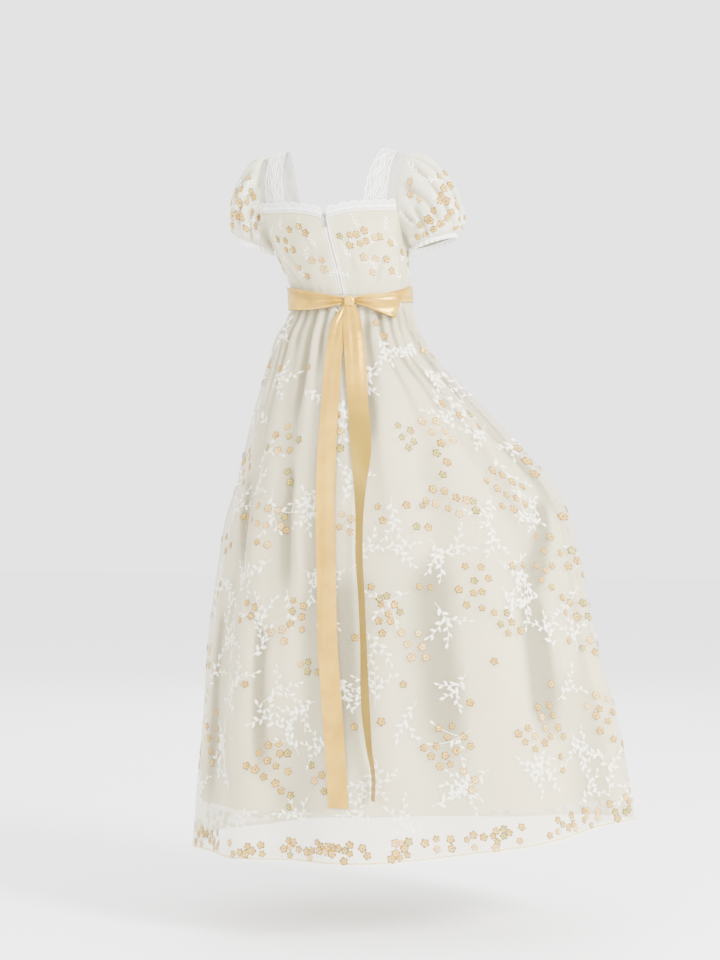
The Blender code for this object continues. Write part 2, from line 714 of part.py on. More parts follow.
def knot():
    """The knot: the ribbon wrapped once over the middle of the bow."""
    around, rows, steepest = 14, 5, 60
    half = Vector(KNOT_HALF_SIZE)
    vertices, faces = [], []
    for row in range(rows):
        high = math.radians(steepest * (2 * row / (rows - 1) - 1))
        for step in range(around):
            turn = 2 * math.pi * step / around
            ring = math.cos(high) ** 0.5
            x = half.x * ring * math.copysign(abs(math.cos(turn)) ** 0.6, math.cos(turn))
            y = half.y * ring * math.copysign(abs(math.sin(turn)) ** 0.8, math.sin(turn))
            vertices.append(Vector((x, y, half.z * math.sin(high) / math.sin(math.radians(steepest)))))
    for row in range(rows - 1):
        for step in range(around):
            after = (step + 1) % around
            low, high_row = row * around, (row + 1) * around
            faces.append((low + step, low + after, high_row + after, high_row + step))
    faces.append(tuple(range(around))[::-1])
    faces.append(tuple((rows - 1) * around + step for step in range(around)))
    out = level_normal(KNOT_ANGLE, KNOT_HEIGHT)
    centre = gown_ring(KNOT_ANGLE, KNOT_HEIGHT) + out * KNOT_STAND_OFF
    turn = Matrix.Rotation(math.atan2(-out.x, out.y), 3, "Z")
    return make_object("bow_knot", [turn @ v + centre for v in vertices], faces, "satin")


knot()


def tail_maker(rows, stand_off, over_top):
    """The surface of a tail, which hangs from the knot and lies on the net."""

    def point(across, height):
        middle = smooth(TAIL_COLUMNS, rows, "middle", height)
        width = smooth(TAIL_COLUMNS, rows, "width", height)
        twist = max(smooth(TAIL_COLUMNS, rows, "twist", height), 0.0)
        x = middle + width * across
        centre = smooth(GOWN_COLUMNS, GOWN_ROWS, "middle", height)
        side = smooth(GOWN_COLUMNS, GOWN_ROWS, "left" if x > centre else "right", height)
        angle = math.degrees(math.asin((x - centre) / side))
        folds = fold_depth("gather", height) + fold_depth("fold", height)
        long_fold = fold_depth("long_fold", height) * long_wave(angle)
        near_top = math.exp(-(((height + 0.32) / 0.10) ** 2))
        out = folds + max(long_fold, -0.002) + stand_off + over_top * near_top
        out += twist * (0.5 - across)
        place = gown_ring(angle, height)
        return Vector((x, place.y + out, height))

    return point


TAIL_ACROSS = (0.5, 0.17, -0.17, -0.5)
for word, rows, stand_off, over_top in (
    ("left", LEFT_TAIL_ROWS, 0.0018, 0.0004),
    ("right", RIGHT_TAIL_ROWS, 0.0018, 0.0026),
):
    heights = spaced(rows[0][0], rows[-1][0], 22)
    sheet(
        f"tail_{word}",
        tail_maker(rows, stand_off, over_top),
        TAIL_ACROSS,
        heights,
        RIBBON_WALL,
        "satin",
        facing=-1,
        seam=0,
    )


# The zip: its closed chain in the slit of the back, the slider at the top, and the pull tab on the slider
sheet(
    "zip_chain",
    gown_ring,
    (-ZIP_TAPE_HALF, 0.0, ZIP_TAPE_HALF),
    spaced(ZIP_TOP, ZIP_FOOT, 9),
    CLOTH_WALL,
    "zip",
    lift=-0.0001,
    seam=0,
)


def extruded(name, outline, depth, place, material):
    """A plate of this outline, in the plane of its first two axes, from depth 0 to depth, set in place."""
    count = len(outline)
    vertices = [place @ Vector((x, z, 0)) for x, z in outline]
    vertices += [place @ Vector((x, z, depth)) for x, z in outline]
    faces = [tuple(range(count))[::-1], tuple(range(count, 2 * count))]
    for i in range(count):
        after = (i + 1) % count
        faces.append((i, after, after + count, i + count))
    return make_object(name, vertices, faces, material, smooth_faces=False)


def zip_axes():
    """The slider's frame: across the zip, up along it, and out of the back."""
    up = (gown_ring(0, SLIDER_HEIGHT + 0.01) - gown_ring(0, SLIDER_HEIGHT - 0.01)).normalized()
    across = Vector((1, 0, 0))
    across = (across - up * across.dot(up)).normalized()
    return across, up, up.cross(across)


def frame_matrix(first, second, third, place):
    matrix = Matrix((first, second, third)).transposed().to_4x4()
    matrix.translation = place
    return matrix


ACROSS, UP, OUT = zip_axes()
SLIDER_SEAT = 0.0005
SLIDER_FLOOR = 0.0016
PIVOT_HEIGHT = 0.0028
CHEEK_TOP = 0.0036
CHANNEL = 0.0026
slider_place = gown_ring(0, SLIDER_HEIGHT)
half = SLIDER_WIDTH / 2
U_PROFILE = (
    (-half, SLIDER_SEAT),
    (half, SLIDER_SEAT),
    (half, CHEEK_TOP),
    (CHANNEL / 2, CHEEK_TOP),
    (CHANNEL / 2, SLIDER_FLOOR),
    (-CHANNEL / 2, SLIDER_FLOOR),
    (-CHANNEL / 2, CHEEK_TOP),
    (-half, CHEEK_TOP),
)
extruded(
    "zip_slider",
    U_PROFILE,
    SLIDER_LENGTH,
    frame_matrix(ACROSS, OUT, UP, slider_place - UP * SLIDER_LENGTH / 2),
    "zip",
)


def pull_outline():
    """A teardrop: a narrow neck at the pivot that widens to a round end."""
    neck, belly, crown = 0.0010, 0.0030, 0.0006
    side = [(neck, crown), (neck, -0.0070), (0.0018, -0.0100), (0.0027, -0.0160)]
    end_middle = -(PULL_LENGTH - belly)
    side += [
        (belly * math.cos(math.radians(a)), end_middle + belly * math.sin(math.radians(a)))
        for a in (0, -30, -60)
    ]
    return [*side, (0.0, -PULL_LENGTH), *[(-x, z) for x, z in reversed(side)]]


PULL_THICKNESS = 0.0010
pivot = slider_place + OUT * PIVOT_HEIGHT + UP * 0.0022
pull = extruded(
    "zip_pull",
    pull_outline(),
    PULL_THICKNESS,
    frame_matrix(ACROSS, UP, OUT, pivot - OUT * PULL_THICKNESS / 2),
    "pull",
)
pull.data.transform(Matrix.Translation(-pivot))
pull.location = pivot
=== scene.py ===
"""A regency gown of embroidered net over a pale lining, with puff sleeves and a gold satin sash."""

import math
from functools import partial

import bpy
import numpy as np
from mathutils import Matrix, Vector


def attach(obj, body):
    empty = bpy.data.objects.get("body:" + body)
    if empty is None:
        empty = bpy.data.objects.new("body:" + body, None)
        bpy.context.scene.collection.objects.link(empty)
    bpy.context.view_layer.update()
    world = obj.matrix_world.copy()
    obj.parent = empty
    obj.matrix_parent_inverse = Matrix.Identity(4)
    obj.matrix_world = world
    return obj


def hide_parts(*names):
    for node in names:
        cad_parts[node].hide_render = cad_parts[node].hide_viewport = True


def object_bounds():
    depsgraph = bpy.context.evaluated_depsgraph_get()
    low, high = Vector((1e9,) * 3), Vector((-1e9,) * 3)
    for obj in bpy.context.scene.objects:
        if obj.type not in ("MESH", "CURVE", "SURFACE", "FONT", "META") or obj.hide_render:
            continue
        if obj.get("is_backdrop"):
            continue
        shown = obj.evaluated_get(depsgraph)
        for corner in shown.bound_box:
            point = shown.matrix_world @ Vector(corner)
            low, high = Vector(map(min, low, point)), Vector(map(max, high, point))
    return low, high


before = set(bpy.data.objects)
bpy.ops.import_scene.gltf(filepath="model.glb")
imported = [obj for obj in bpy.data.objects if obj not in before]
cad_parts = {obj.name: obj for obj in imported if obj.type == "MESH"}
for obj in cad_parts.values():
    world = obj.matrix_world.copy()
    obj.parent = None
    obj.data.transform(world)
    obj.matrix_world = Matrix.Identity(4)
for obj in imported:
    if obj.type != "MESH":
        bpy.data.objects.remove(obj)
cad_low, cad_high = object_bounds()

# The studio: a pale floor under the hanging gown, a white surround, and broad soft light from the camera's
# side. The camera stands level with the knees, four metres behind the gown and a little to its right.
VIEW_FROM = Vector((-0.809, 3.918, -0.643))
VIEW_ALONG = Vector((0.1908, -0.9816, 0.0))
LENS = 76.5
SURROUND_STRENGTH = 3.0
FLOOR_HEIGHT = -1.501
FLOOR_HALF = 14.0
FLOOR_FINISH = {"Base Color": (0.93, 0.93, 0.93, 1.0), "Roughness": 0.9}
LIGHTS = (
    # name, place, aimed at, size, power
    ("key", (-3.6, 2.2, 1.2), (0.0, 0.0, -0.6), 1.3, 720.0),
    ("fill", (3.0, 3.2, 0.6), (0.0, 0.0, -0.8), 2.6, 110.0),
    ("front", (0.8, -3.6, 1.4), (0.0, 0.0, -0.7), 2.6, 120.0),
)


def add_object(name, data):
    made = bpy.data.objects.new(name, data)
    bpy.context.scene.collection.objects.link(made)
    return made


def add_aimed(name, data, place, along):
    made = add_object(name, data)
    made.location = place
    made.rotation_mode = "QUATERNION"
    made.rotation_quaternion = along.to_track_quat("-Z", "Y")
    return made


def add_mesh(name, points, faces, material):
    mesh = bpy.data.meshes.new(name)
    mesh.from_pydata(np.reshape(points, (-1, 3)).tolist(), [], faces)
    mesh.shade_smooth()
    mesh.materials.append(material)
    return add_object(name, mesh)


def fixed_material(name, fixed):
    """A material, and its shader with the sockets that are the same all over."""
    material = bpy.data.materials.new(name)
    material.use_nodes = True
    shader = material.node_tree.nodes["Principled BSDF"]
    for socket, value in fixed.items():
        shader.inputs[socket].default_value = value
    return material, shader


lens = bpy.data.cameras.new("camera")
lens.sensor_width = 36.0
lens.lens = LENS
lens.clip_end = 100.0
bpy.context.scene.camera = add_aimed("camera", lens, VIEW_FROM, VIEW_ALONG)

for light_name, place, target, size, power in LIGHTS:
    lamp = bpy.data.lights.new(light_name, "AREA")
    lamp.shape = "DISK"
    lamp.size = size
    lamp.energy = power
    add_aimed(light_name, lamp, place, Vector(target) - Vector(place))

world = bpy.data.worlds.new("surround")
world.use_nodes = True
world.node_tree.nodes["Background"].inputs["Color"].default_value = (1.0, 1.0, 1.0, 1.0)
world.node_tree.nodes["Background"].inputs["Strength"].default_value = SURROUND_STRENGTH
bpy.context.scene.world = world

floor_finish, _ = fixed_material("floor", FLOOR_FINISH)
corners = [(x * FLOOR_HALF, y * FLOOR_HALF, FLOOR_HEIGHT) for x, y in ((-1, -1), (1, -1), (1, 1), (-1, 1))]
add_mesh("floor", corners, [(0, 1, 2, 3)], floor_finish)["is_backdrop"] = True


# The skirt's lining: pale ivory cloth with a hint of mint, cut in a front and two backs and sewn into the
# waist seam. It hangs just inside the net, follows its long folds, and ends short of the hem.
SEAM_GAP = 0.0003
NET_WALL = 0.0012
WAIST = -0.288
HEM = -1.345
HEM_DROP_LEFT = 0.012
HEM_LIFT_RIGHT = 0.055
LINING_SHORTER = 0.090
LINING_SHORTER_RIGHT = 0.042
GATHERS = 36
FOLDS = 18
LONG_FOLDS = 9
BROAD_FOLDS = 5


class Table:
    """Rows of figures under named columns, the first of which says where each row belongs."""

    def __init__(self, names, rows):
        self.columns = dict(zip(names.split(), np.array(sorted(rows), float).T))
        self.places = next(iter(self.columns.values()))

    def straight(self, name, at):
        return np.interp(at, self.places, self.columns[name])

    def smooth(self, name, at):
        """A column at places between its rows, on one smooth curve through them."""
        x, y = self.places, self.columns[name]
        last = len(x) - 1
        before = np.maximum(np.arange(last + 1) - 1, 0)
        after = np.minimum(np.arange(last + 1) + 1, last)
        slope = (y[after] - y[before]) / (x[after] - x[before])
        low = np.clip(np.searchsorted(x, at) - 1, 0, last - 1)
        span = x[low + 1] - x[low]
        t = (at - x[low]) / span
        t_in = np.clip(t, 0, 1)
        curve = y[low] + (y[low + 1] - y[low]) * (3 * t_in**2 - 2 * t_in**3)
        curve = curve + span * slope[low] * (t_in**3 - 2 * t_in**2 + t_in)
        curve = curve + span * slope[low + 1] * (t_in**3 - t_in**2)
        below = np.where(t < 0, slope[0] * (at - x[0]), 0)
        return curve + np.where(t > 1, slope[last] * (at - x[last]), below)


def in_metres(rows, *columns):
    """Rows of figures with these columns, or all, turned from millimetres into metres."""
    return [[v / 1000 if k in columns or not columns else v for k, v in enumerate(row)] for row in rows]


# Half widths to the left and right, depths to the back and front, and how far each side is drawn to a point,
# which is in thousandths
GOWN = Table("height middle left right back front drawn_left drawn_right", in_metres((
    (-95, 8, 150, 150, 101, 95, 0, 0), (-120, 4, 147, 147, 105, 104, 0, 0),
    (-160, -3, 139, 139, 106, 122, 0, 0), (-205, -14, 130, 130, 103, 130, 0, 0),
    (-250, -25, 121, 121, 98, 116, 0, 0), (-288, -32, 117, 117, 95, 101, 0, 0),
    (-306, -32, 119, 118, 99, 103, 0, 0), (-330, -32, 127, 122, 108, 111, 0, 20),
    (-365, -32, 147, 133, 122, 122, 20, 60), (-412, -32, 161, 163, 137, 134, 50, 150),
    (-461, -32, 176, 212, 150, 146, 100, 250), (-516, -32, 192, 266, 162, 156, 110, 360),
    (-592, -32, 207, 336, 176, 168, 150, 500), (-650, -33, 222, 384, 186, 177, 180, 550),
    (-721, -34, 246, 418, 196, 187, 180, 460), (-800, -35, 260, 434, 207, 197, 150, 360),
    (-956, -37, 284, 463, 229, 216, 120, 280), (-1113, -40, 299, 500, 250, 235, 100, 240),
    (-1270, -42, 313, 523, 270, 253, 80, 220), (-1420, -44, 325, 540, 287, 268, 60, 200),
)))
FOLD_DEPTHS = Table("height gather fold long_fold", in_metres((
    (-288, 0.9, 0, 0), (-306, 1.5, 0, 0), (-330, 3.6, 0.6, 0), (-360, 4.2, 1.8, 0.6), (-420, 3.4, 3.6, 1.8),
    (-500, 1.6, 4.6, 4), (-620, 0.4, 4, 7), (-800, 0, 2.5, 10), (-1000, 0, 1.2, 12.5), (-1200, 0, 0, 14.5),
    (-1420, 0, 0, 16),
)))

# The main creases, each a soft trough or ridge from one place on the skirt to another: angle and height at
# the top, the same at the foot, half width, depth
CREASES = in_metres((
    (46.5, -295, 45, -450, 5, -3), (37, -300, 35, -400, 4, -2.5), (26.5, -295, 24, -520, 6, -4),
    (20.5, -300, 18.5, -560, 5, 3), (13.5, -300, 12.5, -440, 4.5, -3), (-21, -320, -15, -560, 13, -6),
    (-27, -330, -24, -600, 11, 3.5), (-33, -300, -43.5, -440, 5, -4.2), (-46, -300, -55, -480, 5, -3),
    (-62, -300, -75, -400, 5, -4.2), (-75, -380, -64, -500, 6, -4), (-52, -330, -66, -640, 6, 3),
    (-58, -420, -71, -660, 5.5, -3.5), (20.5, -590, 15.5, -850, 5, 5), (23.5, -600, 19, -870, 8, -5),
    (63, -600, 30.5, -950, 10, -5), (31, -900, 27, -1200, 12, -6), (19, -900, 16, -1080, 14, 5),
    (42, -700, 38, -1250, 18, 4.5), (-66, -670, -53.5, -870, 12, -6), (-54, -840, -50, -1120, 14, -7),
    (-72, -680, -66, -1000, 10, 5), (-40, -700, -38, -1200, 22, 4), (-24, -760, -24, -1180, 20, -4),
    (-5, -780, -3, -1200, 16, -4.5), (62, -860, 58, -1260, 14, -4.5), (78, -500, 82, -1150, 14, 5),
    (98, -320, 101, -560, 6, -4), (112, -310, 110, -480, 5, -3.5), (121, -600, 126, -1180, 16, -6),
    (138, -300, 134, -620, 8, -4), (151, -420, 149, -1020, 14, 4.5), (163, -300, 166, -520, 5.5, -3.5),
    (176, -560, 172, -1220, 18, -5.5), (189, -310, 190, -560, 6, -3.5), (203, -480, 199, -1060, 15, 4.5),
    (214, -300, 220, -600, 6.5, -4), (231, -620, 226, -1200, 16, -6), (243, -330, 254, -600, 7, -4),
    (262, -700, 255, -1120, 12, 4.5),
), 1, 3, 4, 5)


def alike(*values):
    return np.broadcast_arrays(*(np.asarray(value, float) for value in values))


def unit(vectors):
    return vectors / np.maximum(np.linalg.norm(vectors, axis=-1, keepdims=True), 1e-12)


def gown_ring(angle, height, inset=0.0):
    """Points of the smooth gown. Angles run from the centre back, through the wearer's left, to 360."""
    angle, height = alike(angle, height)
    across, along = np.sin(np.radians(angle)), np.cos(np.radians(angle))
    size = partial(GOWN.smooth, at=height)
    drawn = np.maximum(np.where(across > 0, size("drawn_left"), size("drawn_right")), 0)
    half_width = np.where(across > 0, size("left"), size("right")) - inset * (1 + 2 * drawn)
    depth = np.where(along > 0, size("back"), size("front")) - inset
    back = depth * along * np.abs(along) ** drawn
    return np.stack([size("middle") + half_width * across, back, height], -1)


def level_normal(angle, height, inset=0.0):
    """The level direction that points out of the gown."""
    along = gown_ring(angle + 0.5, height, inset) - gown_ring(angle - 0.5, height, inset)
    return unit(np.stack([-along[..., 1], along[..., 0], np.zeros(along.shape[:-1])], -1))


def stand_off(angle, height, out, inset=0.0):
    """Points that stand out level from the smooth gown by this much."""
    return gown_ring(angle, height, inset) + level_normal(angle, height, inset) * np.asarray(out)[..., None]


def long_wave(angle):
    turn = np.radians(angle)
    return 0.72 * np.cos(LONG_FOLDS * turn + 1.0) + 0.35 * np.cos(BROAD_FOLDS * turn + 2.2)


def gather_wave(angle):
    """The gathers, uneven in width and depth."""
    turn = np.radians(angle)
    uneven = 0.82 + 0.16 * np.sin(7 * turn + 1.0) + 0.14 * np.sin(19 * turn + 0.3)
    return uneven * np.cos(GATHERS * turn + 0.9 * np.sin(5 * turn + 0.4) + 0.6 * np.sin(11 * turn + 2.0))


def fold_wave(angle):
    turn = np.radians(angle)
    uneven = 0.85 + 0.25 * np.sin(4 * turn + 0.6)
    return uneven * np.cos(FOLDS * turn + 0.5 + 0.8 * np.sin(4 * turn + 1.0))


def folds(angle, height, gather=1.0, fold=1.0, long_fold=1.0):
    """How far the gathers, folds and long folds stand out or in, with this share of each."""
    out = gather * FOLD_DEPTHS.straight("gather", height) * gather_wave(angle)
    out = out + fold * FOLD_DEPTHS.straight("fold", height) * fold_wave(angle)
    return out + long_fold * FOLD_DEPTHS.straight("long_fold", height) * long_wave(angle)


def from_middle(angle):
    """An angle as it lies from the centre back, -180 to 180."""
    return (angle + 180) % 360 - 180


def bell(distance, width):
    return np.exp(-((distance / width) ** 2))


def creases(angle, height):
    """How far the main creases stand out or in."""
    angle, height = alike(angle, height)
    radius = np.maximum(GOWN.smooth("back", height), 0.05)
    out = np.zeros(angle.shape)
    for top_angle, top, foot_angle, foot, half_width, depth in CREASES:
        share = (top - height) / (top - foot)
        middle = top_angle + (foot_angle - top_angle) * np.clip(share, -0.3, 1.3)
        middle = middle + 0.8 * np.sin(share * 4.0 + top_angle)
        across = np.radians(from_middle(angle - middle)) * radius
        fade = np.clip(share / 0.18, 0, 1) * np.clip((1.12 - share) / 0.45, 0, 1)
        fade = fade * fade * (3 - 2 * fade)
        out = out + depth * bell(across, half_width * (1 + 0.5 * np.clip(share, 0, 1))) * fade
    return out


def hem_height(angle):
    across = np.sin(np.radians(angle))
    return HEM + np.where(across > 0, -HEM_DROP_LEFT * across**2, HEM_LIFT_RIGHT * np.abs(across) ** 1.6)


def lining_form(angle, height):
    """The lining's surface, which takes up some of the net's folds."""
    inset = FOLD_DEPTHS.straight("gather", height) + FOLD_DEPTHS.straight("fold", height)
    inset = inset + NET_WALL + GAP_AT_SEAM + GAP_BELOW * np.clip((WAIST - height) / GAP_OPENS, 0, 1)
    out = folds(angle, height, 0.7, 0.7) + 0.8 * creases(angle, height)
    return stand_off(angle, height, out, inset)


def lining_foot(angle):
    across = np.minimum(np.sin(np.radians(angle)), 0)
    return hem_height(angle) + LINING_SHORTER + (LINING_SHORTER_RIGHT - LINING_SHORTER) * across**2


class Wire:
    """One value, vector or colour in a material's tree. Python's operators add the matching nodes."""

    def __init__(self, tree, socket=None):
        self.tree, self.socket = tree, socket

    def node(self, kind, settings=(), sockets=(), output=0):
        """A node of this type with these settings and sockets, as the wire from one of its outputs."""
        made = self.tree.nodes.new("ShaderNode" + kind)
        for name, value in dict(settings).items():
            setattr(made, name, value)
        for name, value in dict(sockets).items():
            if isinstance(value, Wire):
                self.tree.links.new(value.socket, made.inputs[name])
            else:
                made.inputs[name].default_value = value
        return Wire(self.tree, made.outputs[output])

    def maths(self, operation, *values):
        return self.node("Math", {"operation": operation}, dict(enumerate(values)))

    def __add__(self, other):
        return self.maths("ADD", self, other)

    def __sub__(self, other):
        return self.maths("SUBTRACT", self, other)

    def __rsub__(self, other):
        return self.maths("SUBTRACT", other, self)

    def __mul__(self, other):
        return self.maths("MULTIPLY", self, other)

    __radd__ = __add__
    __rmul__ = __mul__

    def wave(self, pitch):
        """A smooth wave from 0 to 1 with this pitch along the value."""
        return self.maths("SINE", self * (2 * math.pi / pitch)) * 0.5 + 0.5

    def over(self, low, high):
        """0 below low and 1 above high, smooth between them."""
        ends = {"Value": self, "From Min": low, "From Max": high}
        return self.node("MapRange", {"interpolation_type": "SMOOTHSTEP"}, ends)

    def colours(self, low, high):
        """The colour low where the value is 0 and high where it is 1."""
        low, high = ((*c, 1.0) if isinstance(c, tuple) else c for c in (low, high))
        return self.node("Mix", {"data_type": "RGBA"}, {0: self, 6: low, 7: high}, output=2)

    def stored(self, name):
        """The value that each point of the mesh keeps under this name."""
        return self.node("Attribute", {"attribute_name": name}, output=2)

    def with_painted_fold_shade(self, dark):
        """This colour, turning to a darker one in the folds: painted shade, as deep as the fold that each
        point keeps.
        """
        return self.stored("fold").colours(self, dark)

    def tones(self, colour, share):
        """This colour where the value is high, and a darker share of it where it is low."""
        return self.over(0.3, 0.7).colours(tuple(share * c for c in colour), colour)

    def noise(self, size, detail=2.0, rough=0.5):
        """Noise from 0 to 1 on this vector, with patches of about this size."""
        sockets = {"Vector": self, "Scale": 1 / size, "Detail": detail, "Roughness": rough}
        return self.node("TexNoise", {}, sockets)

    def bump(self, depth, under=None):
        """This height, in metres at this depth, as a normal, on top of another one."""
        under = {} if under is None else {"Normal": under}
        return self.node("Bump", {}, {"Height": self, "Distance": depth, "Strength": 1.0, **under})


def new_material(name, fixed, look, *tones):
    """A material whose changing sockets come from look, on the object's place and the metres of its cloth."""
    material, shader = fixed_material(name, fixed)
    blank = Wire(material.node_tree)
    cloth = blank.node("UVMap", {"uv_map": "cloth"})
    along, down = (blank.node("SeparateXYZ", {}, {0: cloth}, output=k) for k in (0, 1))
    for socket, wire in look(blank.node("TexCoord", output=3), along, down, *tones).items():
        material.node_tree.links.new(wire.socket, shader.inputs[socket])
    return material


def lining_look(place, along, down, shade, colour):
    """Plain-woven polyester: a fine even weave and faint drifts of tone, with painted shade in the folds."""
    plain = place.noise(0.16, 3.0).over(0.35, 0.7).colours(shade, colour)
    weave = along.wave(LINING_PITCH) * down.wave(LINING_PITCH)
    relief = weave.bump(0.00006, place.noise(0.03).bump(0.0012))
    return {"Base Color": plain.with_painted_fold_shade(PAINTED_FOLD_SHADE), "Normal": relief}


def grid_mesh(name, points, along, down, material, ring=False):
    """A thin shell through rows of points, with the cloth's own metres along and down it as its map."""
    rows, columns = points.shape[:2]
    row, step = np.meshgrid(np.arange(rows - 1), np.arange(columns if ring else columns - 1), indexing="ij")
    corner_rows = np.stack([row, row, row + 1, row + 1], -1).reshape(-1, 4)
    corner_steps = np.stack([step, step + 1, step + 1, step], -1).reshape(-1, 4)
    made = add_mesh(name, points, (corner_rows * columns + corner_steps % columns).tolist(), material)
    corners = np.stack([along[corner_rows, corner_steps], down[corner_rows, corner_steps]], -1)
    made.data.uv_layers.new(name="cloth").data.foreach_set("uv", corners.astype(np.float32).ravel())
    return made


def tube_of_cloth(name, form, angles, foot, rows, material):
    """A ring of cloth from the waist seam, with its rows closest there, down to the line that foot gives."""
    shares = np.linspace(0, 1, rows)[:, None] ** ROW_GROWTH
    top = WAIST - SEAM_GAP / 2
    heights = top + (foot(angles) - top) * shares
    along = np.radians(np.append(angles, angles[0] + 360)) * MEAN_RADIUS + np.zeros((rows, 1))
    down = -np.append(heights, heights[:, :1], axis=1)
    return grid_mesh(name, form(angles + 0 * heights, heights), along, down, material, ring=True)


def store(piece, name, values):
    """One value for each point of a piece."""
    layer = piece.data.attributes.new(name, "FLOAT", "POINT")
    layer.data.foreach_set("value", np.asarray(values, np.float32).ravel())


def fold_shade(piece, strength):
    """Painted shade for the folds: how deep in a fold each point lies, from 0 to 1, by its angle and height
    on the gown.
    """
    x, y, height = np.array([v.co for v in piece.data.vertices]).T
    middle = GOWN.smooth("middle", height)
    side = np.where(x > middle, GOWN.smooth("left", height), GOWN.smooth("right", height))
    angle = np.degrees(np.arcsin(np.clip((x - middle) / side, -1, 1)))
    angle = np.where(y > 0, angle, 180 - angle)
    raised_by = folds(angle, height, *FOLD_SHADES)
    store(piece, "fold", np.clip(-strength * (creases(angle, height) / DEEP_CREASE + raised_by), 0, 1))


def dress(piece, slot, solids, **cut):
    """The piece rides on the gown in place of these solids. The flat sheet that it is cut from is not used.
    """
    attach(piece, "gown")
    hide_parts(*solids)


GAP_AT_SEAM = 0.0006
GAP_BELOW = 0.0044
GAP_OPENS = 0.060
ROW_GROWTH = 1.25
MEAN_RADIUS = 0.42
DEEP_CREASE = 0.0055
# How dark the painted shade in gathers, folds and long folds gets: the most of the shade, over the depth that
# gives it
FOLD_SHADES = (0.75 / 0.0042, 0.45 / 0.0046, 0.30 / 0.0145)
LINING_PITCH = 0.0006
LINING_COLOUR = (0.71, 0.615, 0.35)
LINING_SHADE = (0.60, 0.56, 0.35)
LINING_SHEEN = {"Roughness": 0.55, "Sheen Weight": 0.25, "Sheen Roughness": 0.5, "Specular IOR Level": 0.35}
# Painted shade: the darker colour that the cloth turns to in its folds and creases
PAINTED_FOLD_SHADE = (0.34, 0.30, 0.18)
lining_finish = new_material("lining_cloth", LINING_SHEEN, lining_look, LINING_SHADE, LINING_COLOUR)
lining_angles = np.arange(0, 360, 1.0)
skirt_lining = tube_of_cloth("skirt_lining", lining_form, lining_angles, lining_foot, 100, lining_finish)
# Painted shade in the lining's folds
fold_shade(skirt_lining, 1.35)
dress(skirt_lining, "lining", ("lining_front", "lining_back_left", "lining_back_right"),
      flat=(2.35, 1.00), held="gathered", rests_on=["bodice_back_left"], area=1.85)


# The overskirt: soft net, cut in a front and two backs, gathered to the waist seam. The mesh is fine enough
# to read as a sheer film, clearest where it hangs below the lining, and its folds are uneven.
def net_form(angle, height):
    return stand_off(angle, height, folds(angle, height) + creases(angle, height))


def net_threads(along, down, pitch, low):
    """Crossed slanting threads: 1 on a thread and 0 in the holes."""
    one, other = (along + down).wave(pitch), (along - down).wave(pitch)
    return one.maths("MAXIMUM", one, other).over(low, 1.0)


def net_look(place, along, down, colour, cover, low):
    """Fine diamond net: threads with open holes between them, so the alpha follows the mesh, and painted
    shade in the folds.
    """
    threads = net_threads(along, down, NET_PITCH, low)
    drift = place.noise(0.05, 3.0)
    return {
        "Alpha": threads * (1 - cover) * 0.7 + cover + drift * 0.08 - 0.04,
        "Base Color": drift.tones(colour, 0.95).with_painted_fold_shade(PAINTED_FOLD_SHADE),
        "Normal": threads.bump(0.0002),
    }


NET_PITCH = 0.0018
NET_SHEEN = {"Roughness": 0.6, "Sheen Weight": 0.35, "Sheen Roughness": 0.4, "Specular IOR Level": 0.3}
net_finish = new_material("net", NET_SHEEN, net_look, (0.77, 0.69, 0.46), 0.25, 0.45)
net_skirt = tube_of_cloth("net_skirt", net_form, np.arange(0, 360, 0.8), hem_height, 190, net_finish)
# Painted shade in the net's folds
fold_shade(net_skirt, 1.55)
dress(net_skirt, "embroidered_net", ("skirt_front", "skirt_back_left", "skirt_back_right"),
      flat=(2.45, 1.08), held="gathered", rests_on=["bodice_back_left", "skirt_lining"], area=2.15)


# The embroidery: leafy sprigs in cream thread, and round five-lobed blossoms in gold, peach and olive thread
# that sit in leaning groups. Each leaf, blossom and stem is raised stitching that follows the cloth.
def run_along(points, axis):
    """How far along its line each point of a grid lies, measured through the points before it."""
    steps = np.linalg.norm(np.diff(points, axis=axis), axis=-1)
    return np.insert(np.cumsum(steps, axis=axis), 0, 0, axis=axis)


LEVELS = np.linspace(-1.42, -0.095, 107)
FINE = np.linspace(0, 360, 721)
ring_run = run_along(gown_ring(FINE[None, :], LEVELS[:, None]), 1)
angle_table = np.stack([np.interp(np.linspace(0, 1, 721), run / run[-1], FINE) for run in ring_run])


def ring_length(height):
    return np.interp(height, LEVELS, ring_run[:, -1])


def angle_at(part, height):
    """The angle that lies at this part of the ring's length from the centre back."""
    whole = np.floor(part)
    level = np.clip((height - LEVELS[0]) / (LEVELS[1] - LEVELS[0]), 0, len(LEVELS) - 1.001)
    step = (part - whole) * 720
    low, left = level.astype(int), np.minimum(step.astype(int), 719)
    up, over = level - low, step - left
    near = angle_table[low, left] * (1 - over) + angle_table[low, left + 1] * over
    far = angle_table[low + 1, left] * (1 - over) + angle_table[low + 1, left + 1] * over
    return near * (1 - up) + far * up + whole * 360


def part_at(angle, height):
    """The part of the ring's length at which an angle lies."""
    run = ring_run[np.argmin(np.abs(LEVELS - height))]
    return np.interp(angle % 360, FINE, run / run[-1])


def outward(form, u, v, du, dv):
    """The direction square to a form, from steps along its own u and v."""
    side = form(u + du, v) - form(u - du, v)
    return unit(np.cross(form(u, v + dv) - form(u, v - dv), side))


def on_gown(form, parts, heights, across, up, lift):
    """Stitching on the gown: places in metres from each motif's own place, raised by lift."""
    height = heights + up
    angle = angle_at(parts + across / ring_length(height), height)
    return form(angle, height) + outward(form, angle, height, 0.2, 0.001) * lift[..., None]


# Each shape is its points across and along it, how far each is raised, its tone of thread, and its faces
LEAF_STATIONS = ((0.18, 0.62), (0.45, 1.0), (0.74, 0.66))
BLOSSOM_RINGS = ((0.26, 0.1, 0.5), (0.52, 0.55, 0.0), (0.80, 1.0, 0.9), (1.0, 0.1, 1.0))
BLOSSOM_STEPS = 20
KNOT_STEPS = 6


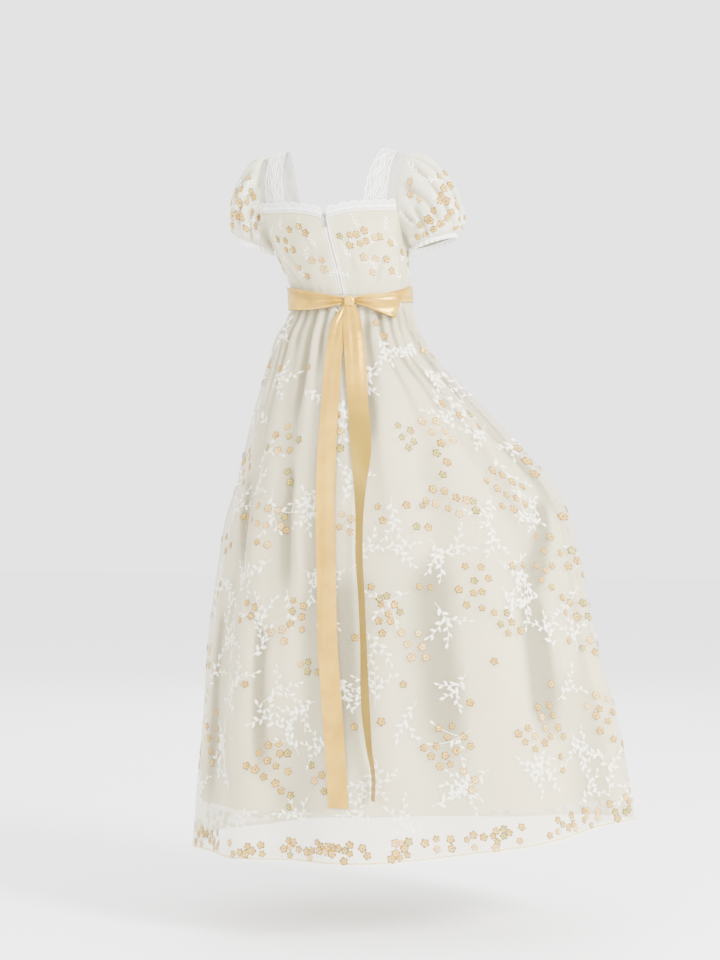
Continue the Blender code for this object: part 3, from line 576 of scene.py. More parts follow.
def strip_faces(rows, first=0):
    """Faces over this many rows of three points."""
    starts = [first + 3 * row + k for row in range(rows - 1) for k in (0, 1)]
    return [(a, a + 1, a + 4, a + 3) for a in starts]


def in_triangles(faces):
    return [half for a, b, c, d in faces for half in ((a, b, c), (a, c, d))]


def leaf_shape():
    """A pointed leaf one unit long and one wide, with a raised rib."""
    points = [(0.0, 0.0, 0.15, 0.0)]
    for along, width in LEAF_STATIONS:
        points += [(-width / 2, along, 0.1, 0.8), (0.0, along, 1.0, 0.0), (width / 2, along, 0.1, 0.8)]
    points.append((0.0, 1.0, 0.15, 0.0))
    last = 3 * len(LEAF_STATIONS) - 2
    faces = [(0, 2, 1), (0, 3, 2)] + in_triangles(strip_faces(len(LEAF_STATIONS), 1))
    return np.array(points), faces + [(last, last + 1, last + 3), (last + 1, last + 2, last + 3)]


def blossom_shape():
    """A blossom of radius 1: five petals with a raised outline of satin stitch, and a knot in the eye."""
    points, faces = [], []
    for row, (reach, lift, tone) in enumerate(BLOSSOM_RINGS):
        for step in range(BLOSSOM_STEPS):
            turn = 2 * math.pi * step / BLOSSOM_STEPS
            lobe = 0.66 + 0.34 * abs(math.cos(5 * turn / 2)) ** 0.8
            far = reach * (lobe if reach > 0.4 else 1.0)
            points.append((far * math.sin(turn), far * math.cos(turn), lift, tone))
            if row:
                first = (row - 1) * BLOSSOM_STEPS
                a, b = first + step, first + (step + 1) % BLOSSOM_STEPS
                faces += in_triangles([(a, b, b + BLOSSOM_STEPS, a + BLOSSOM_STEPS)])
    knot = len(points)
    points.append((0.0, 0.0, 1.0, 1.0))
    for step in range(KNOT_STEPS):
        turn = 2 * math.pi * step / KNOT_STEPS
        points.append((0.20 * math.sin(turn), 0.20 * math.cos(turn), 0.1, 1.0))
        faces.append((knot, knot + 1 + (step + 1) % KNOT_STEPS, knot + 1 + step))
    return np.array(points), faces


class Joined:
    """One mesh of many small parts, gathered one by one."""

    def __init__(self):
        self.points, self.faces, self.count = [], [], 0

    def gather(self, points, faces):
        self.points.append(points)
        self.faces += (np.array(faces) + self.count).tolist()
        self.count += len(points)

    def build(self, name, material, slot):
        made = add_mesh(name, np.concatenate(self.points), self.faces, material)
        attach(made, "gown")
        return made


class Stitching(Joined):
    """Motifs on one cloth, which place lays on its form at the end."""

    def __init__(self, place):
        super().__init__()
        self.place = place

    def motif(self, part, height, rows, faces):
        self.gather(np.concatenate([np.broadcast_to([part, height], (len(rows), 2)), rows], 1), faces)

    def add(self, part, height, shape, across, up, turn, size, lift):
        """One shape at an offset in metres from a place on the cloth, turned and scaled."""
        points, faces = shape
        x, y = points[:, 0] * size[0], points[:, 1] * size[1]
        c, s = math.cos(turn), math.sin(turn)
        rows = [x * c + y * s + across, y * c - x * s + up, points[:, 2] * lift, points[:, 3]]
        self.motif(part, height, np.stack(rows, -1), faces)

    def line(self, part, height, path, width, lift):
        """A raised line of stitches along a path of offsets in metres."""
        side = unit(np.gradient(path, axis=0))[:, ::-1] * [width / 2, -width / 2]
        rows = np.zeros((3 * len(path), 4))
        rows[:, :2] = np.stack([path - side, path, path + side], 1).reshape(-1, 2)
        rows[:, 2] = np.tile([0.1 * lift, lift, 0.1 * lift], len(path))
        self.motif(part, height, rows, in_triangles(strip_faces(len(path))))

    def build(self, name, material, slot):
        *places, lift, tones = np.concatenate(self.points).T
        self.points = [self.place(*places, lift + STITCH_CLEAR)]
        made = super().build(name, material, slot)
        store(made, "tone", tones)
        return made


STITCH_CLEAR = 0.00035
STITCH_LIFT = 0.0009
STEM_WIDTH = 0.0012
STEM_LIFT = 0.0004
LEAF = leaf_shape()
BLOSSOM = blossom_shape()


def sprig(stitches, part, height, turn, length, bend, leaves, leaf_size, blooms, scale=None):
    """A curved stem with leaves in staggered pairs and one at the tip, starting at a place on the cloth.

    Leaves that would lie on one of the blooms are left out. The scale is the cloth's metres round and up for
    each unit of its own map, where that isn't the gown's.
    """
    shares = np.linspace(0, 1, 8)
    angles = turn + bend * shares[:-1]
    path = np.zeros((8, 2))
    path[1:] = np.cumsum(np.stack([np.sin(angles), np.cos(angles)], -1) * length / 7, axis=0)
    stitches.line(part, height, path, STEM_WIDTH, STEM_LIFT)
    for i in range(leaves):
        share = 0.16 + 0.8 * i / (leaves - 1)
        x, y = np.interp(share, shares, path[:, 0]), np.interp(share, shares, path[:, 1])
        lean = turn + bend * share + (1 if i % 2 else -1) * chance.uniform(0.6, 1.05)
        if i == leaves - 1:
            lean = turn + bend
        size = leaf_size * chance.uniform(0.8, 1.15) * (1.0 - 0.25 * share)
        girth, rise = scale or (ring_length(height + y), 1.0)
        tip_x, tip_y = x + size * 0.6 * math.sin(lean), y + size * 0.6 * math.cos(lean)
        away = ((blooms[:, 0] - part - tip_x / girth + 0.5) % 1 - 0.5) * girth
        if np.min(away**2 + ((blooms[:, 1] - height) * rise - tip_y) ** 2) >= (0.004 + size / 2) ** 2:
            stitches.add(part, height, LEAF, x, y, lean, (size * 0.50, size), STITCH_LIFT)


def spray(stitches, part, height, turn, size, blooms):
    """A main sprig with one or two side shoots."""
    bend = chance.uniform(-1.1, 1.1)
    length = size * chance.uniform(0.85, 1.15)
    sprig(stitches, part, height, turn, length, bend, 8, 0.0150, blooms)
    for side in (-1, 1):
        if chance.random() < 0.75:
            share = chance.uniform(0.25, 0.55)
            middle = turn + bend * share / 2
            x, y = math.sin(middle) * length * share, math.cos(middle) * length * share
            near = part + x / ring_length(height + y)
            lean = turn + bend * share + side * chance.uniform(0.5, 0.9)
            sprig(stitches, near, height + y, lean, length * 0.6, side * 0.5, 5, 0.0130, blooms)


# Groups of blossoms on the back, and single ones: angle, height, blossoms, thread, slant of the group, spread
BACK_GROUPS = in_metres((
    (50, -426, 1, "gold", 0, 0), (19.5, -430, 1, "gold", 0, 0), (28.5, -542, 1, "gold", 0, 0),
    (31, -572, 6, "olive", 1.4, 32), (25.5, -638, 2, "olive", 0.3, 12), (52.5, -720, 3, "gold", 0.8, 14),
    (34, -710, 7, "peach", 1.4, 36), (26, -720, 4, "olive", 0.2, 22), (32.5, -762, 2, "gold", 1.2, 12),
    (-3, -720, 5, "peach", 1, 24), (-4.5, -550, 5, "peach", 0.1, 32), (-12.5, -704, 2, "gold", 0.4, 12),
    (-26, -560, 5, "olive", 0.2, 22), (-35, -356, 2, "gold", 0.7, 12), (-38, -552, 6, "peach", 0.5, 26),
    (-50.5, -496, 1, "gold", 0, 0), (-62, -524, 3, "gold", 0.9, 20), (-35, -610, 3, "olive", 0.1, 20),
    (-22, -690, 2, "gold", 1.4, 14), (-31, -682, 8, "peach", 1.2, 36), (-38.5, -684, 3, "olive", 0.8, 14),
    (-23.5, -730, 2, "gold", 1.5, 12), (-54, -655, 9, "gold", 1, 40), (-51, -688, 3, "gold", 1.3, 14),
    (-68, -780, 6, "gold", 0.4, 36), (-61.5, -824, 4, "gold", 0.2, 22), (-50, -804, 2, "gold", 1.4, 12),
    (-37.5, -822, 5, "gold", 0.5, 26), (-23, -840, 2, "gold", 1.5, 12), (-11.5, -848, 2, "gold", 1.1, 14),
    (69, -856, 2, "gold", 0, 12), (40, -908, 1, "gold", 0, 0), (35, -884, 3, "gold", 0.6, 14),
    (15, -894, 6, "gold", 0, 26), (21.5, -930, 3, "peach", 1.2, 16), (9.5, -990, 4, "olive", 0.8, 18),
    (34, -1026, 1, "gold", 0, 0), (59.5, -1090, 1, "gold", 0, 0), (60, -1150, 7, "gold", 0.4, 36),
    (20, -1142, 4, "gold", 0.9, 18), (24.5, -1178, 8, "gold", 1.1, 36), (4.5, -1190, 4, "olive", 0.1, 22),
    (16, -1228, 3, "olive", 0.5, 16), (-14, -878, 7, "peach", 0.5, 24), (-11.5, -912, 2, "gold", 0.2, 12),
    (-6, -932, 1, "gold", 0, 0), (-5, -1098, 1, "gold", 0, 0), (-11, -1086, 1, "gold", 0, 0),
    (-16, -1018, 1, "gold", 0, 0), (-19.5, -948, 6, "peach", 0.3, 30), (-34.5, -864, 4, "gold", 0.4, 22),
    (-44, -906, 6, "gold", 0.6, 26), (-39, -978, 1, "gold", 0, 0), (-72, -884, 4, "gold", 0.2, 22),
    (-69.5, -946, 1, "gold", 0, 0), (-56, -1022, 1, "gold", 0, 0), (-52.5, -1092, 8, "gold", 0.3, 34),
    (-45.5, -1120, 6, "gold", 0.9, 26), (-54, -1168, 2, "gold", 0, 14), (-31.5, -1050, 1, "gold", 0, 0),
    (-27, -1115, 6, "gold", 0.6, 30), (-23, -1148, 6, "gold", 0.6, 26), (-30, -1192, 3, "peach", 0.2, 16),
    (-76.5, -1110, 4, "gold", 0.1, 24),
), 1, 5)


def leaning(blossoms, lean, spread):
    """The offsets across and up of blossoms in two rows that lean this way."""
    offsets = []
    for i in range(blossoms):
        share = 0 if blossoms == 1 else 2 * i / (blossoms - 1) - 1
        off = spread * 0.42 * (1 if i % 2 else -1) * (1 if blossoms > 2 else 0)
        x = spread * share * math.sin(lean) + off * math.cos(lean)
        offsets.append((x, -spread * share * math.cos(lean) + off * math.sin(lean)))
    return offsets


def group_places(rows):
    """The blossoms of each group: part of the ring, height, thread, radius."""
    places = []
    for angle, height, blossoms, thread, lean, spread in rows:
        part, length = part_at(angle, height), ring_length(height)
        for x, y in leaning(blossoms, lean, spread):
            own = chance.random() < 0.72
            colour = thread if own else ("gold", "peach", "olive", "gold")[chance.integers(0, 4)]
            x = x + chance.uniform(-0.003, 0.003)
            y = y + chance.uniform(-0.003, 0.003)
            places.append((part - x / length, height + y, colour, chance.uniform(*BLOSSOM_RADII)))
    return places


def hidden_groups():
    """Like groups on the sides and front, in rows that are offset from each other."""
    rows = []
    for level, height in enumerate(np.arange(-0.41, -1.27, -0.095)):
        spacing = 0.150 / ring_length(height) * 360
        angle = 76 + (level % 2) * spacing / 2
        while angle < 280:
            blossoms = chance.integers(3, 9)
            thread = ("gold", "gold", "peach", "olive")[chance.integers(0, 4)]
            around = angle + chance.uniform(-0.2, 0.2) * spacing
            up = height + chance.uniform(-0.025, 0.025)
            rows.append((around, up, blossoms, thread, chance.uniform(0, 1.5), 0.010 + 0.0034 * blossoms))
            angle += spacing
    return rows


def hem_places():
    """The denser border of blossoms just above the hem, in bunches with gaps between them."""
    places = []
    length = ring_length(HEM)
    at = 0.0
    while at < length - 0.05:
        bunch = chance.uniform(0.07, 0.13)
        for _ in range(int(bunch * 190)):
            part = (at + chance.uniform(0, bunch)) / length
            height = hem_height(angle_at(part, HEM)) + chance.uniform(0.008, 0.040)
            thread = ("gold", "gold", "gold", "peach", "olive")[chance.integers(0, 5)]
            places.append((part, height, thread, chance.uniform(0.0068, 0.0092)))
        at += bunch + chance.uniform(0.02, 0.05)
    return places


def apart(places, gap):
    """The places that keep at least this gap from those before them."""
    kept = []
    for place in places:
        length = ring_length(place[1])
        gaps = (math.hypot(((place[0] - p[0] + 0.5) % 1 - 0.5) * length, place[1] - p[1]) for p in kept[-60:])
        if all(one > gap for one in gaps):
            kept.append(place)
    return kept


def spots_of(places):
    return np.array([place[:2] for place in places])


BLOSSOM_RADII = (0.0068, 0.0086)
BLOSSOM_GAP = 0.0105
HEM_GAP = 0.0100
chance = np.random.default_rng(12)
blossoms = group_places(BACK_GROUPS) + group_places(hidden_groups())
blossoms = apart(blossoms, BLOSSOM_GAP) + apart(hem_places(), HEM_GAP)
THREADS = {
    # the petals' thread and the darker thread of the outline
    "gold": ((0.66, 0.420, 0.035), (0.180, 0.076, 0.0006)),
    "peach": ((0.78, 0.55, 0.19), (0.350, 0.165, 0.006)),
    "olive": ((0.48, 0.38, 0.045), (0.100, 0.070, 0.001)),
    "cream": ((0.88, 0.85, 0.70), (0.72, 0.67, 0.48)),
}
THREAD_SHEEN = {"Roughness": 0.42, "Sheen Weight": 0.08, "Specular IOR Level": 0.4}


def thread_look(place, along, down, main, dark):
    """Rayon embroidery thread: satin stitches that catch the light, with tones that shift along them."""
    tone = place.stored("tone") * 0.95 + place.noise(0.010, 3.0).over(0.35, 0.65) * 0.4 - 0.15
    return {"Base Color": tone.colours(main, dark), "Normal": place.noise(0.0009, 1.0).bump(0.0004)}


thread_finishes = {
    name: new_material("thread_" + name, THREAD_SHEEN, thread_look, *tones) for name, tones in THREADS.items()
}


def stitch_blossoms(name, place, places):
    """One joined mesh for each colour of thread."""
    for thread in ("gold", "peach", "olive"):
        stitches = Stitching(place)
        for part, height, colour, radius in places:
            if colour == thread:
                turn = chance.uniform(0, 2 * math.pi)
                stitches.add(part, height, BLOSSOM, 0, 0, turn, (radius, radius), STITCH_LIFT)
        if stitches.count:
            stitches.build(f"{name}_{thread}", thread_finishes[thread], "embroidered_net")


on_skirt = partial(on_gown, net_form)
stitch_blossoms("skirt_blossoms", on_skirt, blossoms)

bloom_spots = spots_of(blossoms)
skirt_leaves = Stitching(on_skirt)
for level, height in enumerate(np.arange(-0.36, -1.29, -0.062)):
    spacing = 0.092 / ring_length(height)
    for part in np.arange((level % 2) * spacing / 2, 1.0, spacing):
        spot = part + chance.uniform(-0.28, 0.28) * spacing
        lower = height + chance.uniform(-0.02, 0.02)
        away = ((bloom_spots[:, 0] - spot + 0.5) % 1 - 0.5) * ring_length(lower)
        if np.min(np.hypot(away, bloom_spots[:, 1] - lower)) > 0.013 and chance.random() < 0.86:
            turn = chance.uniform(-1.3, 1.3) + (math.pi if chance.random() < 0.45 else 0)
            if lower < -1.20:
                turn = chance.uniform(-1.2, 1.2)
            spray(skirt_leaves, spot, lower, turn, 0.056 if lower > -0.45 else 0.078, bloom_spots)
skirt_leaves.build("skirt_leaves", thread_finishes["cream"], "embroidered_net")


# The hem edging: a scalloped border worked along the net's cut edge, a cream line with a row of small
# scallops, and a gold line between them.
class Cords(Joined):
    """Raised threads that run over a form along paths in its own u and v."""

    def __init__(self, form, du, dv, facing=1):
        super().__init__()
        self.form, self.du, self.dv, self.facing = form, du, dv, facing

    def add(self, u, v, width, lift, base=0.0):
        u, v = alike(u, v)
        middle = self.form(u, v)
        out = outward(self.form, u, v, self.du, self.dv) * self.facing
        across = unit(np.cross(out, np.gradient(middle, axis=0))) * (width / 2)
        rows = [middle - across + out * base, middle + out * (base + lift), middle + across + out * base]
        self.gather(np.stack(rows, 1).reshape(-1, 3), strip_faces(len(u)))


HEM_SCALLOPS = 220
HEM_BASE = 0.0002
hem_angles = np.linspace(0, 360, 2401)
hem_line = hem_height(hem_angles)
scallop = np.abs(np.sin(np.radians(hem_angles) * HEM_SCALLOPS / 2))
hem_cream = Cords(net_form, 0.3, 0.001)
hem_cream.add(hem_angles, hem_line + 0.0008, 0.0020, 0.0005, HEM_BASE)
hem_cream.add(hem_angles, hem_line + 0.0045 + 0.0030 * scallop, 0.0016, 0.0005, HEM_BASE)
hem_gold = Cords(net_form, 0.3, 0.001)
hem_gold.add(hem_angles, hem_line + 0.0026 + 0.0024 * scallop, 0.0013, 0.0005, HEM_BASE)
hem_cream.build("hem_edging_cream", thread_finishes["cream"], "embroidered_net")
hem_gold.build("hem_edging_gold", thread_finishes["gold"], "embroidered_net")


# The bodice: embroidered net mounted on the pale lining cloth and sewn as one, cut in a front and two backs.
# It is short and close, with a little fullness over the bust, and opens down the centre back.
STRAP_INNER_BACK = 33.0
STRAP_OUTER_BACK = 64.0
STRAP_OUTER_FRONT = 120.0
STRAP_INNER_FRONT = 145.0
FRONT_EDGE = -0.152
BODICE_FOOT = WAIST + SEAM_GAP / 2
# Angle and height at the top of each crease, the same at its foot, half width, depth
BODICE_CREASES = in_metres((
    (52, -190, 34, -262, 4.5, -1.2), (60, -215, 44, -276, 4, -1.1), (-48, -205, -34, -270, 4.5, -1.3),
    (-58, -185, -50, -262, 4.5, 1), (14, -150, 18, -235, 5, 1), (-12, -165, -16, -255, 5, -1),
    (88, -225, 92, -282, 4, -1.2), (-88, -220, -93, -280, 4, -1.2), (126, -236, 120, -284, 4, -1.3),
    (140, -240, 137, -284, 3.5, -1.2), (154, -238, 152, -284, 3.5, -1.3), (168, -190, 170, -280, 4.5, -1),
    (192, -190, 190, -280, 4.5, -1), (207, -238, 208, -284, 3.5, -1.3), (221, -240, 224, -284, 3.5, -1.2),
    (235, -236, 240, -284, 4, -1.3),
), 1, 3, 4, 5)


def top_edge(angle):
    """The height of the bodice's top edge: dipped at the back, cut low under the arms, level in front."""
    away = np.abs(from_middle(angle))
    neck = -0.133 + 0.015 * np.sin(np.clip(away / STRAP_INNER_BACK, 0, 1) * math.pi / 2)
    strap = -0.118 + 0.006 * (away - STRAP_INNER_BACK) / (STRAP_OUTER_BACK - STRAP_INNER_BACK)
    share = np.clip((away - STRAP_OUTER_BACK) / (STRAP_OUTER_FRONT - STRAP_OUTER_BACK), 0, 1)
    arm = -0.112 - 0.040 * share - 0.058 * np.sin(math.pi * share) ** 0.7
    edge = np.where(away <= STRAP_INNER_BACK, neck, np.where(away <= STRAP_OUTER_BACK, strap, arm))
    return np.where(away >= STRAP_OUTER_FRONT, FRONT_EDGE, edge)


def down_bodice(angle, share):
    """The height at this share of the way from the top edge to the waist seam."""
    return top_edge(angle) + (BODICE_FOOT - top_edge(angle)) * share


def bodice_creases(angle, height):
    """How far the soft creases over the bodice stand out from it, or lie in."""
    out = np.zeros(np.broadcast(angle, height).shape)
    for top_angle, top, foot_angle, foot, half_width, depth in BODICE_CREASES:
        share = (top - height) / (top - foot)
        away = from_middle(angle - top_angle - (foot_angle - top_angle) * share)
        fade = np.clip(share / 0.25, 0, 1) * np.clip((1.1 - share) / 0.35, 0, 1)
        out = out + depth * bell(np.radians(away) * 0.11, half_width) * fade
    return out


def bodice_form(angle, height):
    angle, height = alike(angle, height)
    full = sum(bell(angle % 360 - middle, 21) for middle in (148, 212))
    near_waist = np.clip((-0.262 - height) / 0.016, 0, 1)
    out = bodice_creases(angle, height) + 0.0005 * near_waist * gather_wave(angle)
    points = stand_off(angle, height, out * np.clip((top_edge(angle) - height) / 0.014, 0, 1))
    points[..., 1] -= 0.009 * bell(height + 0.212, 0.036) * full
    return points


def net_over_cloth(place, along, down, colour, shade):
    """Net mounted on plain cloth: the ground shows through a fine mesh of threads that catch the light, with
    painted shade in the folds.
    """
    threads = net_threads(along, down, NET_PITCH, 0.5)
    tone = place.noise(0.04, 3.0).over(0.3, 0.7) * 0.6 + threads * 0.4
    relief = threads.bump(0.0002, place.noise(0.012).bump(0.0009))
    return {"Base Color": tone.colours(shade, colour).with_painted_fold_shade(PAINTED_FOLD_SHADE), "Normal": relief}


def sheet_mesh(name, form, us, vs, material, ring=False, flip=False, crease=None, deepest=1.0):
    """A thin shell on form(u, v), with a cloth map measured along its own rows and columns, and painted shade
    in its creases.
    """
    u, v = np.meshgrid(us, vs)
    points = form(u, v)
    wide = np.concatenate([points, points[:, :1]], 1) if ring else points
    along, down = run_along(wide, 1), run_along(wide, 0)
    along = along - along.mean(1, keepdims=True)
    turned = -1 if flip else 1
    made = grid_mesh(name, points[:, ::turned], along[:, ::turned], down[:, ::turned], material, ring)
    # Painted shade: the deeper a crease lies, the darker the cloth's colour there
    if crease:
        store(made, "fold", np.clip(-crease(u, v) / deepest, 0, 1)[:, ::turned])
    return made


MOUNTED_SHEEN = {"Roughness": 0.55, "Sheen Weight": 0.35, "Sheen Roughness": 0.4, "Specular IOR Level": 0.3}
BODICE_TONES = ((0.66, 0.585, 0.38), (0.50, 0.465, 0.29))
bodice_finish = new_material("bodice_net", MOUNTED_SHEEN, net_over_cloth, *BODICE_TONES)
bodice_angles = np.concatenate([[0.8], np.arange(2.0, 359.0, 1.0), [359.2]])


def bodice_by_share(angle, share):
    return bodice_form(angle, down_bodice(angle, share))


def bodice_crease_by_share(angle, share):
    return bodice_creases(angle, down_bodice(angle, share))


# The bodice's creases also set its painted shade
bodice = sheet_mesh("bodice", bodice_by_share, bodice_angles, np.linspace(0, 1, 60), bodice_finish,
                    crease=bodice_crease_by_share, deepest=0.0022)
dress(bodice, "embroidered_net", ("bodice_front", "bodice_back_left", "bodice_back_right"),
      flat=(0.80, 0.18), held="stretched", rests_on=["net_skirt"], area=0.112)

NECK_GROUPS = in_metres((
    (25, -160, 3, "gold", 1.2, 16), (46, -188, 4, "gold", 0.6, 18), (-16.5, -186, 4, "gold", 0.8, 18),
    (-30, -176, 4, "gold", 1, 18), (-49, -182, 2, "gold", 1.2, 12), (14, -226, 3, "peach", 0.8, 16),
    (-51.5, -230, 2, "gold", 0.5, 12), (-33, -226, 3, "peach", 0.5, 16), (36, -240, 2, "gold", 0.5, 12),
    (78, -215, 3, "gold", 0.4, 18), (-82, -210, 3, "gold", 0.9, 18), (104, -245, 2, "peach", 0.3, 14),
    (122, -200, 4, "gold", 0.8, 20), (146, -245, 3, "gold", 1.1, 18), (163, -185, 4, "peach", 0.6, 20),
    (181, -235, 3, "gold", 0.2, 18), (199, -190, 4, "gold", 1, 20), (221, -240, 3, "peach", 0.5, 18),
    (243, -205, 3, "gold", 0.9, 18),
), 1, 5)
BODICE_MARGIN = 0.011
on_bodice = partial(on_gown, bodice_form)
bodice_places = []
for place in apart(group_places(NECK_GROUPS), BLOSSOM_GAP):
    angle = angle_at(*place[:2])
    inside = WAIST + BODICE_MARGIN < place[1] < top_edge(angle) - BODICE_MARGIN
    if inside and abs(from_middle(angle)) > 4.5:
        bodice_places.append(place)
stitch_blossoms("bodice_blossoms", on_bodice, bodice_places)

bodice_leaves = Stitching(on_bodice)
bodice_spots = spots_of(bodice_places)
for level, height in enumerate((-0.158, -0.188, -0.218, -0.248)):
    spacing = 0.052 / ring_length(height)
    for part in np.arange((level % 2) * spacing / 2, 1.0, spacing):
        spot = part + chance.uniform(-0.2, 0.2) * spacing
        lower = height + chance.uniform(-0.006, 0.006)
        angle = angle_at(spot, lower)
        if abs(from_middle(angle)) >= 9 and lower <= top_edge(angle) - 0.030:
            turn, bend = chance.uniform(-1.2, 1.2), chance.uniform(-0.8, 0.8)
            sprig(bodice_leaves, spot, lower - 0.006, turn, 0.026, bend, 6, 0.0095, bodice_spots)
bodice_leaves.build("bodice_leaves", thread_finishes["cream"], "embroidered_net")


# The zip: a concealed closing of pale tape down the centre back, with nylon teeth, and a slider of grey
# metal at the top that carries a drop-shaped pull tab on a hinge. Tape and teeth are coloured mid grey as
# painted shade for the dark line between the closed edges.
def hard_look(place, along, down, colour, roughness):
    grain = place.noise(0.0012, 3.0)
    return {
        "Roughness": grain * 0.16 + (roughness - 0.08),
        "Base Color": grain.tones(colour, 0.9),
        "Normal": grain.bump(0.00004),
    }


def cord_look(place, along, down, colour):
    """White lace cord: many fine twisted stitches side by side."""
    grain = place.noise(0.0007)
    return {"Base Color": grain.tones(colour, 0.94), "Normal": grain.bump(0.0003)}


ZIP_PITCH = 0.0016
PLACKET_ANGLE = 1.35
CORD_SHEEN = {"Roughness": 0.5, "Sheen Weight": 0.3, "Specular IOR Level": 0.4}
# Painted shade: the pale tape and teeth are coloured mid grey, for the dark line between the zip's edges
tape_shaded_finish = new_material("zip_tape_shaded", MOUNTED_SHEEN, net_over_cloth, (0.40, 0.39, 0.35), (0.30, 0.29, 0.26))
metal_finish = new_material("zip_metal", {"Metallic": 0.8}, hard_look, (0.30, 0.30, 0.29), 0.38)
nylon_shaded_finish = new_material("zip_nylon_shaded", {"Metallic": 0.0}, hard_look, (0.50, 0.49, 0.45), 0.4)
placket_finish = new_material("placket_edge", CORD_SHEEN, cord_look, (0.95, 0.93, 0.86))
for node, finish in (("zip_chain", tape_shaded_finish), ("zip_slider", metal_finish), ("zip_pull", metal_finish)):
    for slot in bpy.data.objects[node].material_slots:
        slot.material = finish

teeth = Cords(gown_ring, 0.3, 0.001)
for height in np.arange(-0.1450, -0.2850, -ZIP_PITCH):
    teeth.add(np.linspace(-0.42, 0.42, 5), height, 0.0011, 0.0006, 0.0002)
edges = Cords(bodice_form, 0.3, 0.001)
for side in (-1, 1):
    line = np.linspace(-0.1340, -0.2870, 90)
    edges.add(side * PLACKET_ANGLE, line, 0.0022, 0.0009)
    edges.add(side * (3.6 + 0.3 * np.sin(line * 90)), line, 0.0007, 0.0003)
edges.build("zip_edges", placket_finish, "embroidered_net")
teeth.build("zip_teeth", nylon_shaded_finish, "zip")


# The yokes: plain sheer net from the front edge over each shoulder to the back edge. A lace galloon, with
# wavy and zigzag cords between scalloped edges, lies along the inner edge of each as a strap.
SIDES = ((1, "left"), (-1, "right"))
SHOULDER_INNER = np.array((0.098, 0.000, 0.002))
SHOULDER_OUTER = np.array((0.140, -0.004, -0.008))
YOKE_SEAM = np.array((0, 0, SEAM_GAP))
AHEAD = np.array((0, 0.040, 0))
FRONT_REACH = 0.070
BACK_REACH = 0.055
STRAP_SHARE = 0.56
STRAP_SCALLOPS = 16
STRAP_LIFT = 0.0018
SHEER_SHEEN = {"Roughness": 0.6, "Sheen Weight": 0.3, "Specular IOR Level": 0.3}
STRAP_CORDS = (
    # middle across the strap, swing, zigzag or wave, width, lift
    (0.02, 0.00, "wave", 0.0018, 0.0008),
    (0.98, 0.00, "wave", 0.0018, 0.0008),
    (0.17, 0.05, "wave", 0.0014, 0.0006),
    (0.68, 0.07, "wave", 0.0014, 0.0006),
    (0.82, 0.07, "wave", 0.0014, 0.0006),
    (0.31, 0.09, "zigzag", 0.0018, 0.0008),
    (0.43, 0.09, "zigzag", 0.0018, 0.0008),
    (0.55, 0.09, "zigzag", 0.0018, 0.0008),
)


def bezier(a, b, c, d, t):
    t = t[..., None]
    return a * (1 - t) ** 3 + b * 3 * t * (1 - t) ** 2 + c * 3 * t * t * (1 - t) + d * t**3


def bodice_rise(angle, share):
    """The bodice's top edge, and the direction in which its cloth runs up to it."""
    foot = bodice_form(angle, top_edge(angle))
    return foot, unit(foot - gown_ring(angle, down_bodice(angle, share)))


def between(first, last, share):
    return first + (last - first) * share


def yoke_form(side, across, along):
    """The surface of a yoke: across from its inner edge to the armhole, along from front to back."""
    across, along = alike(across, along)
    back, back_rise = bodice_rise(side * between(STRAP_INNER_BACK, STRAP_OUTER_BACK, across), 0.1)
    front, front_rise = bodice_rise(side * between(STRAP_INNER_FRONT, STRAP_OUTER_FRONT, across), 0.1)
    back, front = back + YOKE_SEAM, front + YOKE_SEAM
    shoulder = between(SHOULDER_INNER, SHOULDER_OUTER, across[..., None]) * np.array((side, 1, 1))
    over_front = bezier(front, front + front_rise * FRONT_REACH, shoulder - AHEAD, shoulder, along * 2)
    over_back = bezier(shoulder, shoulder + AHEAD, back + back_rise * BACK_REACH, back, along * 2 - 1)
    return np.where((along <= 0.5)[..., None], over_front, over_back)


def raised(form, lift, du, dv, u, v):
    """The same surface, moved out by lift."""
    return form(u, v) + outward(form, u, v, du, dv) * lift


def sheer_look(place, along, down, colour, cover):
    """Plain sheer net, light enough to see through."""
    threads = net_threads(along, down, 0.0014, 0.6)
    return {
        "Alpha": threads * (1 - cover) * 0.5 + cover,
        "Base Color": place.noise(0.02).tones(colour, 0.96),
        "Normal": threads.bump(0.0001),
    }


yoke_finish = new_material("yoke_net", SHEER_SHEEN, sheer_look, (0.66, 0.63, 0.56), 0.24)
lace_finish = new_material("lace_ground", SHEER_SHEEN, sheer_look, (0.66, 0.63, 0.55), 0.26)
lace_cord_finish = new_material("lace_cord", CORD_SHEEN, cord_look, (0.97, 0.97, 0.95))
for side, word in SIDES:
    form = partial(yoke_form, side)
    rows = np.linspace(0, 1, 70)
    yoke = sheet_mesh(f"yoke_net_{word}", form, np.linspace(0, 1, 17), rows, yoke_finish, flip=side < 0)
    dress(yoke, "sheer_net", [f"yoke_{word}"], flat=(0.062, 0.29), held="stretched", rests_on=["bodice"])

    def strap(across, along):
        wave = 0.045 * np.abs(np.sin(math.pi * STRAP_SCALLOPS * along))
        across = between(-0.02 - wave, STRAP_SHARE + wave, across)
        return raised(form, -side * STRAP_LIFT, 0.02, 0.004, across, along)

    rows = np.linspace(0.036, 0.964, 209)
    ground = sheet_mesh(f"strap_lace_{word}", strap, np.linspace(0, 1, 9), rows, lace_finish, flip=side < 0)
    cords = Cords(strap, 0.02, 0.002, facing=-side)
    along = np.linspace(0.038, 0.962, 313)
    lines = {
        "wave": np.sin(math.pi * STRAP_SCALLOPS * along),
        "zigzag": np.abs((STRAP_SCALLOPS * along) % 2 - 1) * 2 - 1,
    }
    for middle, swing, line, width, lift in STRAP_CORDS:
        cords.add(middle + swing * lines[line], along, width, lift)
    strap_cords = cords.build(f"strap_lace_cords_{word}", lace_cord_finish, "lace")
    dress(ground, "lace", [f"lace_strap_{word}"], flat=(0.038, 0.27), held="stretched",
          rests_on=[f"yoke_net_{word}"], with_pieces=[strap_cords])


